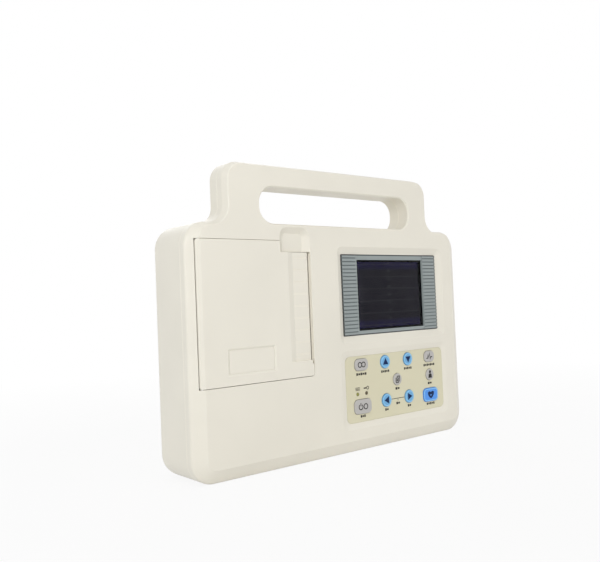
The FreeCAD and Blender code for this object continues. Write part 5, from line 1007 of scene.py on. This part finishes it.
def shell(inset):
    """The D shape of the socket, drawn in by inset."""
    half = SHELL_WIDTH / 2 - inset
    long_half = SHELL_LONG / 2 - inset
    short_half = SHELL_SHORT / 2 - inset
    return [(socket_y - half, socket_z - long_half), (socket_y + half, socket_z - short_half),
            (socket_y + half, socket_z + short_half), (socket_y - half, socket_z + long_half)]


contacts = []
for count, side in CONTACT_ROWS:
    start = socket_z - CONTACT_PITCH * (count - 1) / 2
    contacts += [(socket_y + side * CONTACT_PITCH, start + CONTACT_PITCH * n) for n in range(count)]
mesh = bmesh.new()
add_prism(mesh, [shell(0), shell(SHELL_SKIN)[::-1]], -high.x, -low.x, ON_SIDE)
plate = block(socket_y, socket_z, PLATE_WIDTH, PLATE_HEIGHT, PLATE_CORNER)
plate_end = high.x - PLATE_DEPTH
add_prism(mesh, [plate, shell(0)[::-1]], -plate_end, -plate_end + PLATE_THICKNESS, ON_SIDE)
rim = finish_mesh("socket_shell", mesh, CASING, LOOKS["socket_plate"])
mesh = bmesh.new()
holes = [circle(y, z, CONTACT_HOLE, CONTACT_STEPS)[::-1] for y, z in contacts]
add_prism(mesh, [shell(SHELL_SKIN)] + holes, -high.x + INSULATOR_FRONT, -low.x - INSULATOR_BACK, ON_SIDE)
insulator = finish_mesh("socket_insulator", mesh, CASING, LOOKS["part_black"])
mesh = bmesh.new()
for y, z in contacts:
    outer = circle(y, z, CONTACT_TUBE, CONTACT_STEPS)
    bore = circle(y, z, CONTACT_BORE, CONTACT_STEPS)[::-1]
    add_prism(mesh, [outer, bore], -high.x + CONTACT_FRONT, -high.x + CONTACT_BACK, ON_SIDE)
tubes = finish_mesh("socket_contacts", mesh, CASING, LOOKS["pin_brass"])
for piece in (rim, insulator, tubes):
    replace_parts(piece, "patient_socket")


# Camera

YAW = math.radians(38.91)
PITCH = math.radians(-1.64)
ROLL = math.radians(-2.37)
CAMERA_AT = Vector((-0.3927, -0.4541, 0.1294))
FOCUS = 41.4
SENSOR = 36.0

level_right = Vector((math.cos(YAW), -math.sin(YAW), 0))
level_ahead = Vector((math.sin(YAW), math.cos(YAW), 0))
ahead = level_ahead * math.cos(PITCH) - UP * math.sin(PITCH)
upward = level_ahead * math.sin(PITCH) + UP * math.cos(PITCH)
image_right = level_right * math.cos(ROLL) + upward * math.sin(ROLL)
image_up = upward * math.cos(ROLL) - level_right * math.sin(ROLL)
lens = bpy.data.cameras.new("photo_camera")
lens.lens = FOCUS
lens.sensor_width = SENSOR
camera = bpy.data.objects.new("photo_camera", lens)
turned = Matrix((image_right, image_up, -ahead)).transposed()
camera.matrix_world = Matrix.Translation(CAMERA_AT) @ turned.to_4x4()
SCENE.collection.objects.link(camera)
SCENE.camera = camera


# Stage and light

SUBJECT = Vector((0.0, 0.0, 0.12))
COOL = (0.70, 0.86, 1.0)
WHITE = (1.0, 1.0, 1.0)


def lamp(name, spot, size, power, colour=WHITE):
    """A square soft box that looks at the object."""
    data = bpy.data.lights.new(name, "AREA")
    data.size = size
    data.energy = power
    data.color = colour
    made = bpy.data.objects.new(name, data)
    made.location = spot
    made.rotation_euler = (SUBJECT - Vector(spot)).to_track_quat("-Z", "Y").to_euler()
    SCENE.collection.objects.link(made)


def seen_directly(tree):
    """1 for what the camera, a mirror or a glass sees, 0 for light that falls on other things."""
    path = tree.nodes.new("ShaderNodeLightPath")
    total = path.outputs["Is Camera Ray"]
    for ray in ("Is Glossy Ray", "Is Transmission Ray"):
        larger = tree.nodes.new("ShaderNodeMath")
        larger.operation = "MAXIMUM"
        tree.links.new(total, larger.inputs[0])
        tree.links.new(path.outputs[ray], larger.inputs[1])
        total = larger.outputs[0]
    return total


def make_world(front, back):
    """White to look at, and light that is stronger from the front than from the back."""
    world = bpy.data.worlds.new("studio")
    SCENE.world = world
    world.use_nodes = True
    tree = world.node_tree
    tree.nodes.clear()
    shown = tree.nodes.new("ShaderNodeBackground")
    lighting = tree.nodes.new("ShaderNodeBackground")
    for background in (shown, lighting):
        background.inputs["Color"].default_value = (1, 1, 1, 1)
    shown.inputs["Strength"].default_value = 1.0
    towards = tree.nodes.new("ShaderNodeSeparateXYZ")
    tree.links.new(tree.nodes.new("ShaderNodeTexCoord").outputs["Generated"], towards.inputs[0])
    falloff = tree.nodes.new("ShaderNodeMapRange")
    for socket, value in (("From Min", -0.5), ("From Max", 0.5), ("To Min", front), ("To Max", back)):
        falloff.inputs[socket].default_value = value
    tree.links.new(towards.outputs["Y"], falloff.inputs["Value"])
    tree.links.new(falloff.outputs[0], lighting.inputs["Strength"])
    mix = tree.nodes.new("ShaderNodeMixShader")
    tree.links.new(seen_directly(tree), mix.inputs[0])
    tree.links.new(lighting.outputs[0], mix.inputs[1])
    tree.links.new(shown.outputs[0], mix.inputs[2])
    output = tree.nodes.new("ShaderNodeOutputWorld")
    tree.links.new(mix.outputs[0], output.inputs[0])


def make_floor(radius, near, far, share):
    """A pale floor that fades into the white background between two distances, from a share of white."""
    mesh = bmesh.new()
    bmesh.ops.create_circle(mesh, cap_ends=True, segments=96, radius=radius)
    data = bpy.data.meshes.new("floor")
    mesh.to_mesh(data)
    mesh.free()
    floor = bpy.data.objects.new("floor", data)
    SCENE.collection.objects.link(floor)
    look = Look("floor_paper", Roughness=0.9, Specular_IOR_Level=0.1)
    fibres = look.spread(look.noise(6.0), 0, 1)
    look.feed("Base Color", look.blend(fibres, (0.85, 0.85, 0.85, 1), (0.88, 0.88, 0.88, 1)))
    place = look.node("TexCoord").outputs["Object"]
    away = look.node("VectorMath", {0: place}, operation="LENGTH").outputs["Value"]
    fade = look.spread(away, share, 1.0, near, far)
    glow = look.node("Emission", {"Color": (1, 1, 1, 1), "Strength": 1.0})
    look.cover(look.math("MULTIPLY", fade, seen_directly(look.tree)), glow)
    data.materials.append(look.material)


make_world(front=0.76, back=0.52)
make_floor(radius=4.0, near=0.25, far=0.8, share=0.88)
lamp("key_light", (-1.45, -1.05, 0.5), size=0.8, power=8.0)
lamp("fill_light", (0.6, -1.8, 0.45), size=1.4, power=4.4)
lamp("side_light", (-1.8, 0.2, 0.6), size=1.2, power=1.2, colour=COOL)
lamp("back_light", (0.7, 1.8, 0.8), size=1.4, power=6.5)
lamp("top_light", (0.0, 0.3, 2.0), size=1.6, power=2.2)

SCENE.view_settings.view_transform = "Standard"
